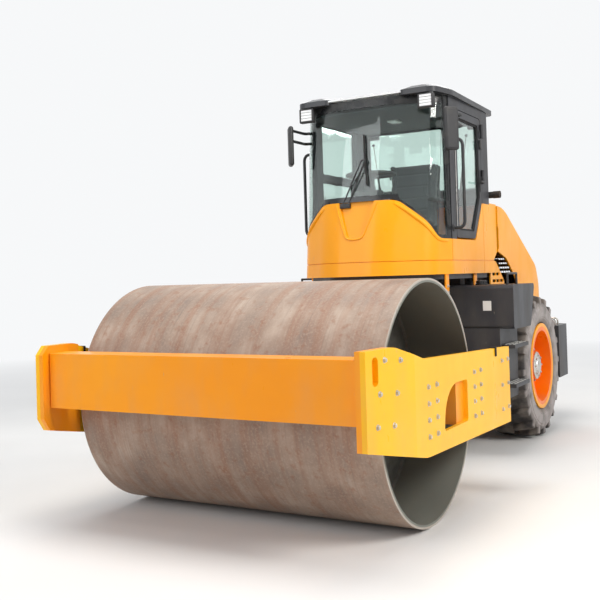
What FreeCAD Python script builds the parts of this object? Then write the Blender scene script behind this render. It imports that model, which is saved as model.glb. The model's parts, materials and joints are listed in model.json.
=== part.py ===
import FreeCAD, Part
import math
import os
import Sketcher

# Single-drum road roller: every size in millimetres, +X forward, +Y to the left, +Z up.
# Each size is one length of its own. Heights and places are chains of them, worked out below the helpers.

SIZES = [
    # alias, value, meaning
    # Fits
    ("seat_gap", 0.3, "running clearance and seat clearance"),
    ("overcut", 50, "how far a cutting tool passes the face it cuts"),
    # Drum
    ("drum_radius", 750, "drum, ground to axis"),
    ("drum_width", 2130, "drum, end to end"),
    ("drum_wall", 25, "drum shell thickness"),
    ("head_inset", 430, "drum end to the outer face of its head"),
    ("head_wall", 30, "drum head thickness"),
    ("hub_radius", 190, "drum head boss"),
    ("hub_depth", 40, "drum head boss, face to head"),
    ("stub_radius", 70, "drum stub shaft"),
    ("stub_length", 160, "drum stub shaft, from the head's face"),
    # Side plates
    ("plate_gap", 95, "drum end to the side plate"),
    ("plate_wall", 30, "side plate thickness"),
    ("plate_fold", 520, "side plate's front edge to its bend"),
    ("plate_toe", 50, "how far the plate's front end turns in"),
    ("plate_tail", 110, "side plate beyond the rear beam"),
    ("top_front_rise", 393, "drum axis up to the plate's top at its front"),
    ("top_mid_rise", 298, "drum axis up to the plate's top at its dip"),
    ("top_rear_rise", 235, "drum axis up to the plate's top at its rear"),
    ("low_front_drop", 117, "drum axis down to the plate's bottom at its front"),
    ("low_mid_drop", 260, "drum axis down to the plate's bottom at its bend"),
    ("low_rear_drop", 305, "drum axis down to the plate's bottom at its rear"),
    ("top_flat", 300, "plate's front to the end of its level top"),
    ("top_dip", 660, "plate's front to its top's dip"),
    ("low_bend", 675, "plate's front to its lower edge's bend"),
    ("top_curve", 260, "radius of the plate's top edge"),
    ("low_curve", 500, "radius of the plate's lower edge"),
    ("plate_chamfer", 55, "cut corners of the right plate"),
    ("window_rear", 317, "drum axis to the plate window's rear edge"),
    ("window_front", 105, "drum axis to the plate window's front edge"),
    ("window_drop", 158, "drum axis down to the plate window's bottom"),
    ("window_rise", 105, "drum axis up to the plate window's top"),
    ("window_corner", 25, "plate window's corner radius"),
    ("window_arch", 220, "left plate window's rounded front"),
    ("window_lean", 40, "how far the left window's top front leans back"),
    ("slot_inset", 65, "side plate's front edge to its lifting slot"),
    ("slot_width", 60, "lifting slot width"),
    ("slot_tall", 150, "lifting slot height"),
    ("slot_top", 35, "side plate's top to the lifting slot"),
    ("slot_round", 28, "lifting slot's corner radius"),
    ("hose_slot_length", 300, "hose slot in the right plate's top rear"),
    ("hose_slot_height", 70, "hose slot height"),
    ("hose_slot_inset", 80, "plate's rear edge to the hose slot"),
    # Front beam
    ("front_gap", 75, "drum to the front beam"),
    ("beam_depth", 180, "front beam, front to back"),
    ("beam_setback", 55, "side plate front to the beam's face"),
    ("beam_height", 340, "front beam height"),
    ("beam_drop", 48, "side plate's front top to the beam's top"),
    ("beam_weld", 12, "weld groove where the beam's face meets the end plates"),
    ("end_plate_length", 350, "front beam end plate"),
    ("end_plate_wall", 30, "front beam end plate thickness"),
    # Rear beam
    ("rear_gap", 110, "drum to the rear beam"),
    ("rear_beam_depth", 270, "rear beam, front to back"),
    ("rear_beam_drop", 200, "oscillation axis down to the rear beam's underside"),
    ("rear_beam_rise", 230, "oscillation axis up to the rear beam's top"),
    ("rear_beam_taper", 60, "how much lower the rear beam is at its ends"),
    ("rear_beam_haunch", 260, "rear beam's tapered length at each end"),
    ("rear_beam_curve", 80, "radius where the rear beam tapers"),
    # Drum mounts
    ("carrier_radius", 290, "drum carrier disc"),
    ("carrier_wall", 25, "drum carrier disc thickness"),
    ("carrier_inset", 180, "drum end to the carrier disc's outer face"),
    ("arm_inner", 180, "drum axis to the carrier arms"),
    ("arm_width", 150, "carrier arm width"),
    ("arm_half", 165, "carrier arm half height"),
    ("motor_radius", 130, "drum motor housing"),
    ("motor_inner", 65, "head's face to the motor's inner end"),
    ("motor_length", 300, "drum motor housing length"),
    ("scraper_gap", 12, "drum to scraper"),
    ("scraper_half", 900, "scraper half length"),
    ("scraper_lift", 30, "drum axis up to the scraper"),
    ("scraper_wall", 20, "scraper thickness"),
    # Steering yoke and fork
    ("pin_gap", 215, "rear beam to the steering pin"),
    ("osc_drop", 50, "drum axis down to the oscillation axis"),
    ("osc_radius", 80, "oscillation shaft"),
    ("osc_length", 160, "oscillation shaft inside the rear beam"),
    ("fork_drop", 200, "oscillation axis down to the fork's underside"),
    ("fork_rise", 250, "oscillation axis up to the fork's top"),
    ("fork_wall", 45, "steering fork plate thickness"),
    ("fork_half", 150, "steering fork half width"),
    ("fork_reach", 110, "steering pin to the fork's front"),
    ("neck_gap", 165, "steering pin to the neck's web"),
    ("pin_radius", 45, "steering pin"),
    ("pin_proud", 8, "steering pin beyond the fork"),
    ("yoke_half", 110, "yoke half width"),
    ("yoke_back", 90, "steering pin to the yoke's rear"),
    # Steering cylinders
    ("ear_reach", 60, "steering pin to the rod's pin, forward"),
    ("ear_side", 250, "centre to the steering cylinders"),
    ("ear_radius", 60, "cylinder ears"),
    ("ear_wall", 25, "cylinder ear thickness"),
    ("ear_gap", 5, "ear to cylinder eye"),
    ("barrel_back", 650, "steering pin to the barrel's pin"),
    ("barrel_radius", 50, "steering cylinder barrel"),
    ("barrel_length", 470, "barrel pin to gland"),
    ("rod_radius", 25, "steering cylinder rod"),
    ("rod_bore_depth", 420, "barrel's gland to the end of its bore"),
    ("rod_tail", 270, "rod length inside the barrel at rest"),
    ("eye_radius", 45, "cylinder eyes"),
    ("eye_half", 30, "cylinder eye half height"),
    ("eye_bore", 22, "barrel pin radius"),
    ("lug_reach", 70, "barrel's pin to the main frame"),
    ("lug_half", 50, "barrel lug half width"),
    # Main frame
    ("pin_to_axle", 1805, "steering pin to the axle"),
    ("rail_half", 380, "centre to the frame rail's outer face"),
    ("rail_wall", 80, "frame rail width"),
    ("rail_lift", 50, "fork top up to the rail's top"),
    ("rail_rise", 150, "length over which the rail rises"),
    ("rail_step", 705, "axle to the frame rail's deep part"),
    ("rail_taper", 160, "length over which the rail gets shallow"),
    ("rail_end", 140, "rear face to the frame rail's end"),
    ("cross_wall", 115, "front cross member"),
    ("rear_cross_wall", 80, "rear cross member"),
    ("rear_overhang", 1210, "axle to the rear face of the counterweight"),
    # Axle
    ("pad_height", 130, "axle up to the frame rail"),
    ("pad_half", 90, "axle pad, half its length"),
    ("spindle_radius", 60, "axle spindle"),
    ("spindle_length", 120, "axle spindle inside the hub"),
    ("axle_radius", 90, "axle tube"),
    ("axle_flange_radius", 150, "axle end flange"),
    ("axle_flange_wall", 40, "axle end flange thickness"),
    ("hub_gap", 6, "axle flange to wheel hub"),
    ("diff_radius", 185, "differential bulge"),
    ("diff_half", 210, "differential half width"),
    ("diff_curve", 60, "differential bulge's rounding"),
    # Wheels
    ("tyre_radius", 650, "tyre, ground to axle"),
    ("tyre_width", 440, "tyre section width"),
    ("tyre_gap", 130, "frame rail to the tyre"),
    ("lug_height", 42, "tread lug height"),
    ("lug_width", 70, "tread lug, along the rolling direction"),
    ("lug_slant", 120, "tread lug, how far its inner end leads"),
    ("lug_shoulder", 90, "tread lug's straight outer part"),
    ("lug_middle", 12, "tyre's middle to the lugs' inner ends"),
    ("lug_crown", 1.5, "tread lug top below the tyre's radius"),
    ("lug_count", 20, "lugs on one shoulder"),
    ("carcass_round", 45, "tread's edge to the tyre's side"),
    ("carcass_drop", 75, "tyre's radius down to its rounded shoulder"),
    ("bead_inset", 34, "tyre's side to its bead"),
    ("rim_radius", 385, "rim flange radius"),
    ("rim_flange", 18, "rim flange thickness"),
    ("rim_depth", 42, "rim flange height over the barrel"),
    ("rim_wall", 20, "rim barrel thickness"),
    ("dish_inset", 60, "wheel's middle to the dish's inner face"),
    ("dish_lean", 30, "how far the dish leans in at the rim"),
    ("dish_wall", 22, "wheel dish thickness"),
    ("dish_ring", 60, "dish's flat ring round the hub"),
    ("wheel_hub_radius", 130, "wheel hub"),
    ("wheel_hub_inner", 40, "wheel hub inside the wheel's middle"),
    ("wheel_hub_outer", 150, "wheel hub outside the wheel's middle"),
    ("spindle_end", 10, "spindle's end to the hub's cap"),
    # Cab deck and base
    ("deck_rise", 480, "rail top up to the cab deck"),
    ("deck_wall", 40, "cab deck thickness"),
    ("deck_inset", 40, "cab side to the deck's edge"),
    ("post_length", 120, "deck post, front to back"),
    ("cab_setback", 345, "steering pin to the door pillar's front"),
    ("cab_half", 630, "cab half width"),
    ("cab_length", 980, "door pillar's front to the cab frame's rear"),
    ("cowl_length", 200, "cowl behind the cab"),
    ("bow_low", 560, "how far the cab's front bows out at its base"),
    ("bow_high", 270, "how far the cab's front bows out at its roof"),
    ("bow_shoulder", 0.52, "share of the bow at the cab's front shoulders"),
    ("bow_shoulder_half", 0.9, "share of the cab's half width at those shoulders"),
    ("bow_nose_half", 0.36, "share of the cab's half width at the nose"),
    ("pillar_curve", 300, "radius of the cab's plan at the door pillar"),
    ("shoulder_curve", 220, "radius of the cab's plan at its front shoulders"),
    ("nose_curve", 420, "radius of the cab's plan at its nose"),
    ("base_height", 610, "cab base, bottom to top beside the hood"),
    ("base_wall", 30, "cab base wall"),
    ("skirt_height", 110, "cab base's lower band"),
    ("seam_width", 6, "seams between the cab's base panels"),
    ("seam_depth", 8, "how deep those seams are"),
    ("side_seam", 800, "door pillar's front to the side panels' seam"),
    ("sill_drop", 328, "cab base's top down to the lowest glass line"),
    ("sill_front", 190, "door pillar's front to where the sill rises"),
    ("sill_slope", 190, "length over which the sill rises to the apron"),
    ("apron_drop", 18, "cab base's top down to the apron's top"),
    ("notch_inset", 10, "rear pillar to the notch's top"),
    ("notch_run", 190, "length over which the notch's rear slopes"),
    ("sill_curve", 120, "radius where the sill rises"),
    ("sill_corner", 60, "radius of the sill's other corners"),
    ("scoop_half_top", 170, "half width of the apron's scoop at its top"),
    ("scoop_half_low", 60, "half width of the apron's scoop at its foot"),
    ("scoop_drop", 290, "apron's top down to the scoop's foot"),
    ("scoop_depth", 20, "depth of the apron's scoop"),
    ("scoop_corner", 45, "scoop's corner radius"),
    ("arch_notch", 120, "cab base's bottom up to the notch over the arch"),
    # Cab frame and glass
    ("cab_height", 1430, "cab base's bottom to the cab's top"),
    ("pillar_wall", 60, "cab frame wall"),
    ("door_pillar", 110, "door pillar, front to back"),
    ("rear_pillar", 190, "rear pillar, front to back"),
    ("head_rail", 80, "cab frame above its windows"),
    ("upper_window", 450, "right upper window's height"),
    ("rail_height", 50, "cab rail under the upper window"),
    ("low_window_rise", 50, "right lower window above the sill line"),
    ("rear_sill", 70, "cab base's top up to the rear window"),
    ("rear_window_inset", 100, "cab side to the rear window"),
    ("pane_corner", 30, "corner radius of the panes"),
    ("glass_wall", 8, "glass thickness"),
    ("glass_inset", 20, "cab side to the side panes"),
    ("glass_step", 4, "cab base's face to the windshield's face"),
    # Roof
    ("roof_edge", 42, "roof's upright edge"),
    ("roof_wall", 70, "roof thickness"),
    ("roof_crown", 55, "roof's edge to its raised middle"),
    ("roof_eave", 35, "roof beyond the cab's sides"),
    ("roof_rear_taper", 30, "how much narrower the roof is at its rear"),
    ("roof_tail", 185, "roof beyond the cab's rear"),
    ("roof_front", 150, "door pillar's front to the roof's middle edge"),
    ("horn_reach", 110, "roof corner lobes ahead of its middle"),
    ("horn_half", 335, "centre to the roof corner lobes"),
    ("horn_slope", 70, "how far a lobe's inner side slopes"),
    ("horn_taper", 60, "how much the lobes narrow at their outer front"),
    ("roof_corner", 40, "roof's small corner radius"),
    ("roof_round", 90, "radius of the lobes' outer corners"),
    ("roof_shoulder", 200, "radius of the roof's sides"),
    ("visor_wall", 14, "clear visor between the lobes"),
    ("visor_lift", 22, "cab's top up to the visor"),
    ("visor_short", 15, "lobes' front to the visor's front"),
    # Door
    ("door_gap", 6, "door to its frame"),
    ("door_lift", 14, "door's lower edge above the notch"),
    ("door_wall", 40, "door thickness"),
    ("door_rail", 60, "door frame width"),
    ("door_corner", 34, "door's corner radius"),
    ("hinge_radius", 14, "door hinge barrels"),
    ("hinge_length", 60, "door hinge barrel length"),
    ("hinge_leaf", 45, "door hinge leaf"),
    ("hinge_low", 170, "cab base's top up to the lower hinge"),
    ("hinge_high", 250, "cab's top down to the upper hinge"),
    # Hood
    ("hood_margin", 10, "hood beyond the cab's side"),
    ("hood_wall", 14, "hood wall"),
    ("hood_gap", 8, "hood to the cowl"),
    ("hood_lift", 10, "counterweight to the hood's lower edge"),
    ("hood_tail", 110, "rear face to the hood's rear"),
    ("hood_brow", 185, "hood front to its crown"),
    ("hood_fall", 550, "cab base's top down to the slope's lower end"),
    ("hood_rake", 95, "hood's rear to the slope's lower end"),
    ("hood_back", 190, "slope's lower end down to the upright rear"),
    ("crown_curve", 700, "radius of the hood's crown"),
    ("tail_curve", 180, "radius at the slope's lower end"),
    ("back_curve", 260, "radius above the hood's upright rear"),
    ("arch_drop", 419, "cab base's top down to the wheel arch"),
    ("arch_dip", 60, "how far the arch falls over its first part"),
    ("arch_run", 250, "length of the arch's first part"),
    ("arch_mid_run", 288, "axle back to the arch's middle"),
    ("arch_mid_gap", 140, "tyre up to the arch's middle"),
    ("arch_low_run", 42, "tyre's rear forward to the arch's lower bend"),
    ("arch_low_rise", 160, "hood's lower edge up to the arch's lower bend"),
    ("arch_foot", 18, "tyre's rear back to the arch's foot"),
    ("arch_curve", 400, "radius of the arch's middle"),
    ("arch_corner", 200, "radius of the arch's other bends"),
    ("slot_rows", 7, "rows of vents in the hood"),
    ("slot_columns", 5, "columns of vents in the hood"),
    ("slot_pitch", 44, "vent row pitch"),
    ("slot_height", 18, "vent height"),
    ("slot_length", 122, "vent length"),
    ("slot_step", 152, "vent column pitch"),
    ("slot_drop", 195, "slope's lower end down to the lowest vents"),
    ("slot_depth", 420, "how deep the vents' cutters reach"),
    ("grip_half", 90, "hood grip's half width"),
    ("grip_rise", 72, "hood's lower edge up to its grip"),
    ("grip_height", 34, "hood grip's height"),
    ("grip_depth", 8, "hood grip's depth"),
    ("slit_width", 18, "slit in the hood's front edge"),
    ("slit_rise", 25, "arch up to the slit"),
    ("slit_height", 200, "slit's height"),
    ("latch_side", 430, "centre to the hood latches"),
    ("latch_half", 16, "latch half width"),
    ("latch_height", 110, "latch height"),
    ("latch_rise", 40, "hood's lower edge up to the latches"),
    ("latch_wall", 22, "latch thickness"),
    ("hood_knuckle", 12, "hood hinge barrels"),
    ("hood_knuckle_length", 50, "hood hinge barrel length"),
    ("hood_knuckle_side", 400, "centre to the hood's hinges"),
    ("hood_leaf", 24, "hood hinge leaf"),
    ("cowl_wall", 12, "cowl cover thickness"),
    # Engine, radiator and louvre panels
    ("engine_setback", 130, "cowl's rear to the engine"),
    ("engine_length", 900, "engine length"),
    ("engine_inset", 50, "frame rail's outer face to the engine's side"),
    ("engine_height", 660, "engine height over the frame"),
    ("radiator_margin", 50, "radiator beyond the frame rail"),
    ("radiator_height", 500, "radiator height over the frame"),
    ("radiator_wall", 120, "radiator thickness"),
    ("radiator_back", 300, "rear face to the radiator"),
    ("panel_inset", 60, "hood's side to the louvre panel"),
    ("panel_wall", 12, "louvre panel thickness"),
    ("panel_front", 100, "cowl's rear forward to the panel"),
    ("panel_length", 420, "louvre panel length"),
    ("panel_drop", 61, "arch's front down to the panel's top"),
    ("panel_height", 320, "louvre panel height"),
    ("panel_corner_drop", 30, "panel's top down to its shoulder"),
    ("panel_shoulder", 180, "panel's front to its shoulder"),
    ("panel_tail_rise", 110, "panel's rear edge height"),
    ("louvre_length", 100, "louvre length"),
    ("louvre_step", 115, "louvre column pitch"),
    ("louvre_height", 26, "louvre height"),
    ("louvre_pitch", 62, "louvre row pitch"),
    ("louvre_inset", 60, "panel's front to its first louvre"),
    ("louvre_rise", 40, "panel's lower edge to its first louvre"),
    # Tanks
    ("tank_setback", 645, "steering pin to the tank's front"),
    ("tank_gap", 30, "tyre to the tank"),
    ("tank_drop", 60, "cab deck down to the tank's top"),
    ("shelf_height", 360, "tank's upper part"),
    ("tank_height", 590, "tank's lower part"),
    ("tank_width", 520, "frame rail to the tank's lower side"),
    ("shelf_margin", 120, "tank's upper part beyond the lower"),
    ("shelf_flare", 170, "how much longer the tank is at its top"),
    ("tank_lean", 20, "how much longer the tank is at its shelf"),
    ("tank_corner", 30, "tank's corner radius"),
    ("step_inset", 40, "tank's ends to the step treads"),
    ("step_reach", 110, "step tread beyond the tank"),
    ("step_wall", 30, "step tread thickness"),
    ("step_rise", 110, "tank's underside up to the lower tread"),
    ("step_pitch", 320, "tread to tread"),
    ("rail_tube", 10, "tank handrail tube"),
    ("rail_tube_height", 90, "tank handrail over the tank"),
    ("rail_tube_length", 260, "tank handrail length"),
    ("rail_tube_inset", 60, "tank's edge to its handrail"),
    # Counterweight and tail lamps
    ("weight_clearance", 460, "ground to the counterweight"),
    ("weight_height", 515, "counterweight height"),
    ("weight_half", 925, "counterweight half width"),
    ("weight_gap", 60, "tyre to the counterweight's wings"),
    ("weight_margin", 20, "frame rail to the wings' inner face"),
    ("weight_corner", 140, "counterweight's corner, front to back"),
    ("weight_nose", 740, "half width of the counterweight's rear face"),
    ("weight_curve", 60, "radius of the counterweight's corners"),
    ("weight_cut_run", 140, "underside's chamfer, front to back"),
    ("weight_cut_rise", 190, "underside's chamfer, up the rear face"),
    ("bay_half_low", 390, "half width of the rear recess at its foot"),
    ("bay_half_top", 500, "half width of the rear recess at its top"),
    ("bay_height", 270, "rear recess height"),
    ("bay_depth", 25, "rear recess depth"),
    ("amber_inner", 560, "centre to the amber lamps"),
    ("amber_length", 140, "amber lamp length"),
    ("amber_height", 58, "amber lamp height"),
    ("amber_drop", 190, "counterweight's top down to the lamps' foot"),
    ("lamp_bed", 12, "depth of the lamp beds"),
    ("reflector_half", 120, "red reflector's half width"),
    ("reflector_height", 110, "red reflector's height"),
    ("reflector_wall", 15, "red reflector's thickness"),
    ("corner_lamp_length", 150, "red corner lamp length"),
    ("corner_lamp_height", 190, "red corner lamp height"),
    ("corner_lamp_bar", 34, "red corner lamp's bar width"),
    ("corner_lamp_drop", 120, "counterweight's top down to the corner lamp"),
    ("corner_lamp_wall", 12, "red corner lamp's thickness"),
    ("corner_lamp_setback", 25, "corner face's rear end to the corner lamp"),
    # Exhaust and air cleaner
    ("muffler_radius", 75, "muffler"),
    ("muffler_length", 460, "muffler length"),
    ("muffler_side", 80, "centre to the muffler"),
    ("muffler_lift", 20, "cowl to the muffler"),
    ("tail_pipe_radius", 30, "tail pipe"),
    ("tail_pipe_length", 160, "tail pipe beyond the muffler"),
    ("cleaner_radius", 95, "air cleaner"),
    ("cleaner_length", 440, "air cleaner length"),
    ("cleaner_side", 120, "centre to the air cleaner"),
    ("cleaner_lift", 15, "muffler axis up to the air cleaner's"),
    ("neck_radius", 40, "air cleaner's neck"),
    ("neck_height", 210, "muffler axis up to the pre-cleaner"),
    ("neck_inset", 140, "air cleaner's inner end to its neck"),
    ("cap_radius", 105, "pre-cleaner"),
    ("cap_height", 70, "pre-cleaner height"),
    ("foot_half", 30, "foot half length"),
    ("foot_width", 50, "foot width"),
    # Inside the cab
    ("seat_setback", 430, "cab frame's rear to the seat's middle"),
    ("seat_half", 250, "seat half width"),
    ("seat_length", 500, "seat cushion, front to back"),
    ("seat_base_half", 180, "seat base half width"),
    ("seat_base_height", 300, "seat base height"),
    ("cushion_wall", 130, "seat cushion thickness"),
    ("backrest_height", 560, "backrest height"),
    ("backrest_wall", 110, "backrest thickness"),
    ("backrest_lean", 90, "how far the backrest leans back"),
    ("console_gap", 120, "door pillar's front to the console"),
    ("console_length", 180, "console, front to back"),
    ("console_half", 140, "console half width"),
    ("console_height", 560, "console height"),
    ("column_radius", 30, "steering column"),
    ("column_height", 240, "steering column over the console"),
    ("steering_wheel_radius", 190, "steering wheel"),
    ("steering_rim_radius", 15, "steering wheel's rim"),
    ("spoke_radius", 10, "steering wheel's spokes"),
    # Outside fittings
    ("tube_radius", 14, "handles and brackets"),
    ("handle_setback", 40, "door pillar's front to the grab handles"),
    ("handle_reach", 95, "cab side to the grab handle"),
    ("handle_low", 88, "lowest glass line up to the handle's foot"),
    ("handle_height", 710, "grab handle height"),
    ("mirror_front", 200, "door pillar's front to the mirror"),
    ("mirror_setback", 60, "door pillar's front back to the mirror's foot"),
    ("mirror_reach", 90, "cab side to the mirror's bracket"),
    ("mirror_drop", 160, "cab's top down to the mirror's bracket"),
    ("mirror_width", 160, "mirror width"),
    ("mirror_height", 340, "mirror height"),
    ("mirror_wall", 50, "mirror thickness"),
    ("mirror_turn", 55, "mirror's turn outward, in degrees"),
    ("mirror_hang", 30, "mirror's top over its bracket"),
    ("mirror_bar_gap", 90, "bracket's upper bar down to its lower bar"),
    ("lamp_width", 135, "work lamp width"),
    ("lamp_height", 125, "work lamp height"),
    ("lamp_depth", 50, "work lamp depth"),
    ("lamp_side", 165, "cab side to the front work lamps' inner edge"),
    ("lamp_rear_side", 190, "cab side to the rear work lamps' inner edge"),
    ("lamp_inset", 5, "roof's front to the work lamps"),
    ("lamp_rear_gap", 10, "cab's rear to the rear work lamps"),
    ("filter_radius", 50, "hydraulic filters"),
    ("filter_height", 200, "hydraulic filter height"),
    ("filter_bar_half", 260, "filter bracket half width"),
    ("filter_bar_wall", 40, "filter bracket thickness"),
    ("filter_bar_height", 60, "filter bracket height"),
    ("filter_front", 60, "door pillar's front to the filter bracket"),
    ("filter_left", 60, "centre to the left filter"),
    ("filter_right", 150, "centre to the right filter"),
]


class Size:
    """One length: the expression that gives it, and its value now."""

    def __init__(self, text, value):
        self.text = text
        self.value = value

    def _join(self, sign, other, swap=False):
        other = size(other)
        a, b = (other, self) if swap else (self, other)
        value = {"+": a.value + b.value, "-": a.value - b.value, "*": a.value * b.value,
                 "/": a.value / b.value if b.value else 0}[sign]
        return Size(f"({a.text} {sign} {b.text})", value)

    def __add__(self, other):
        return self._join("+", other)

    def __radd__(self, other):
        return self._join("+", other, True)

    def __sub__(self, other):
        return self._join("-", other)

    def __rsub__(self, other):
        return self._join("-", other, True)

    def __mul__(self, other):
        return self._join("*", other)

    def __rmul__(self, other):
        return self._join("*", other, True)

    def __truediv__(self, other):
        return self._join("/", other)

    def __neg__(self):
        return self._join("*", -1, True)


def size(value):
    """A number or a Size, as a Size."""
    if isinstance(value, Size):
        return value
    return Size(repr(value), value)


doc = FreeCAD.newDocument("RoadRoller")
sheet = doc.addObject("Spreadsheet::Sheet", "Sizes")
for row, (alias, value, meaning) in enumerate(SIZES, start=1):
    sheet.set(f"A{row}", meaning)
    sheet.set(f"B{row}", str(value))
    sheet.setAlias(f"B{row}", alias)
doc.recompute()


class Named:
    """The sheet's sizes as attributes."""

    def __getattr__(self, alias):
        for name, value, meaning in SIZES:
            if name == alias:
                return Size("Sizes." + alias, value)
        raise AttributeError(alias)


s = Named()

NODES = []


def bind(obj, prop, value):
    """Drive one property of an object by a size."""
    value = size(value)
    obj.setExpression(prop, value.text)


def place(obj, x, y, z, rotation=None):
    """Put an object at a point given by sizes."""
    x, y, z = size(x), size(y), size(z)
    rotation = rotation or FreeCAD.Rotation()
    obj.Placement = FreeCAD.Placement(FreeCAD.Vector(x.value, y.value, z.value), rotation)
    bind(obj, "Placement.Base.x", x)
    bind(obj, "Placement.Base.y", y)
    bind(obj, "Placement.Base.z", z)
    return obj


def block(name, x, y, z):
    """A box from its (low, high) pair along each axis."""
    obj = doc.addObject("Part::Box", name)
    for prop, (low, high) in (("Length", x), ("Width", y), ("Height", z)):
        length = size(high) - size(low)
        setattr(obj, prop, length.value)
        bind(obj, prop, length)
    return place(obj, x[0], y[0], z[0])


ALONG = {
    "x": FreeCAD.Rotation(FreeCAD.Vector(0, 1, 0), 90),
    "y": FreeCAD.Rotation(FreeCAD.Vector(1, 0, 0), -90),
    "z": FreeCAD.Rotation(),
}


def rod(name, along, start, radius, length):
    """A cylinder along one axis from its start point."""
    obj = doc.addObject("Part::Cylinder", name)
    obj.Radius = size(radius).value
    obj.Height = size(length).value
    bind(obj, "Radius", radius)
    bind(obj, "Height", length)
    return place(obj, *start, rotation=ALONG[along])


def fuse(name, parts):
    """One solid from several that overlap or touch."""
    obj = doc.addObject("Part::MultiFuse", name)
    obj.Shapes = parts
    return obj


def together(name, parts):
    """Several solids that don't touch, as one piece."""
    obj = doc.addObject("Part::Compound", name)
    obj.Links = parts
    return obj


def cut(name, base, tools):
    """A solid less one or more others."""
    obj = doc.addObject("Part::Cut", name)
    obj.Base = base
    obj.Tool = tools[0] if len(tools) == 1 else together(name + "_tools", tools)
    return obj


def common(name, base, tool):
    """What two solids share."""
    obj = doc.addObject("Part::Common", name)
    obj.Base = base
    obj.Tool = tool
    return obj


def mirror(name, obj):
    """The same piece on the machine's other side."""
    twin = doc.addObject("Part::Mirroring", name)
    twin.Source = obj
    twin.Base = FreeCAD.Vector(0, 0, 0)
    twin.Normal = FreeCAD.Vector(0, 1, 0)
    return twin


def both(name, obj):
    """A piece and its mirror image."""
    return together(name, [obj, mirror(name + "_twin", obj)])


def corner(points, index):
    """Tangent points, centre and sense of a rounded corner."""
    count = len(points)
    ends = [FreeCAD.Vector(points[i % count][0].value, points[i % count][1].value, 0)
            for i in (index - 1, index, index + 1)]
    radius = points[index][2].value
    before = (ends[0] - ends[1]).normalize()
    after = (ends[2] - ends[1]).normalize()
    half = math.acos(max(-1, min(1, before.dot(after)))) / 2
    reach = radius / math.tan(half)
    middle = (before + after).normalize()
    centre = ends[1] + middle * (radius / math.sin(half))
    left = before.cross(after).z < 0
    return ends[1] + before * reach, ends[1] + after * reach, centre, left


def outline(body, role, points, offset=0, name="outline"):
    """A closed sketch through points (u, v) or (u, v, corner radius) on an origin plane."""
    sketch = body.newObject("Sketcher::SketchObject", name)
    plane = [f for f in body.Origin.OriginFeatures if f.Role == role][0]
    sketch.AttachmentSupport = [(plane, "")]
    sketch.MapMode = "FlatFace"
    offset = size(offset)
    sketch.AttachmentOffset = FreeCAD.Placement(FreeCAD.Vector(0, 0, offset.value), FreeCAD.Rotation())
    bind(sketch, "AttachmentOffset.Base.z", offset)
    points = [tuple(size(v) for v in p) for p in points]
    count = len(points)
    at = [FreeCAD.Vector(p[0].value, p[1].value, 0) for p in points]
    arcs = {i: corner(points, i) for i, p in enumerate(points) if len(p) == 3}
    lines = []
    for i in range(count):
        j = (i + 1) % count
        first = arcs[i][1] if i in arcs else at[i]
        last = arcs[j][0] if j in arcs else at[j]
        lines.append(sketch.addGeometry(Part.LineSegment(first, last), False))
    named = []
    for i, p in enumerate(points):
        before, after = lines[i - 1], lines[i]
        if i in arcs:
            first, last, centre, left = arcs[i]
            if not left:
                first, last = last, first
            low = math.atan2(first.y - centre.y, first.x - centre.x)
            high = math.atan2(last.y - centre.y, last.x - centre.x)
            if high < low:
                high += 2 * math.pi
            circle = Part.Circle(centre, FreeCAD.Vector(0, 0, 1), p[2].value)
            arc = sketch.addGeometry(Part.ArcOfCircle(circle, low, high), False)
            mark = sketch.addGeometry(Part.Point(at[i]), True)
            sketch.addConstraint(Sketcher.Constraint("Tangent", before, 2, arc, 1 if left else 2))
            sketch.addConstraint(Sketcher.Constraint("Tangent", after, 1, arc, 2 if left else 1))
            sketch.addConstraint(Sketcher.Constraint("PointOnObject", mark, 1, before))
            sketch.addConstraint(Sketcher.Constraint("PointOnObject", mark, 1, after))
            named.append((sketch.addConstraint(Sketcher.Constraint("Radius", arc, p[2].value)), p[2]))
            geo, pos = mark, 1
        else:
            sketch.addConstraint(Sketcher.Constraint("Coincident", before, 2, after, 1))
            geo, pos = after, 1
        for kind, axis, value in (("DistanceX", -2, p[0]), ("DistanceY", -1, p[1])):
            if value.text in ("0", "0.0"):
                sketch.addConstraint(Sketcher.Constraint("PointOnObject", geo, pos, axis))
            else:
                index = sketch.addConstraint(Sketcher.Constraint(kind, -1, 1, geo, pos, value.value))
                named.append((index, value))
    for index, value in named:
        sketch.setExpression(f"Constraints[{index}]", value.text)
    return sketch


PLANES = {"x": "YZ_Plane", "y": "XZ_Plane", "z": "XY_Plane"}


def prism(name, along, points, low, high):
    """A plate or bar of one section, from low to high along an axis.

    The section's points are (y, z) along x, (x, z) along y and (x, y) along z.
    """
    body = doc.addObject("PartDesign::Body", name)
    start = -size(high) if along == "y" else size(low)
    sketch = outline(body, PLANES[along], points, start)
    pad = body.newObject("PartDesign::Pad", "pad")
    pad.Profile = sketch
    length = size(high) - size(low)
    pad.Length = length.value
    bind(pad, "Length", length)
    sketch.Visibility = False
    return body


def turned(name, points, x, y, z):
    """A body turned about its own Y axis from points (radius, y)."""
    body = doc.addObject("PartDesign::Body", name)
    sketch = outline(body, "XY_Plane", points)
    turn = body.newObject("PartDesign::Revolution", "turn")
    turn.Profile = sketch
    turn.ReferenceAxis = (sketch, ["V_Axis"])
    turn.Angle = 360
    sketch.Visibility = False
    return place(body, x, y, z)


def lofted(name, sections):
    """A ruled loft through outlines given as (height, points)."""
    body = doc.addObject("PartDesign::Body", name)
    sketches = [outline(body, "XY_Plane", points, height, f"section_{i}")
                for i, (height, points) in enumerate(sections)]
    loft = body.newObject("PartDesign::AdditiveLoft", "loft")
    loft.Profile = sketches[0]
    loft.Sections = sketches[1:]
    loft.Ruled = True
    for sketch in sketches:
        sketch.Visibility = False
    return body


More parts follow.
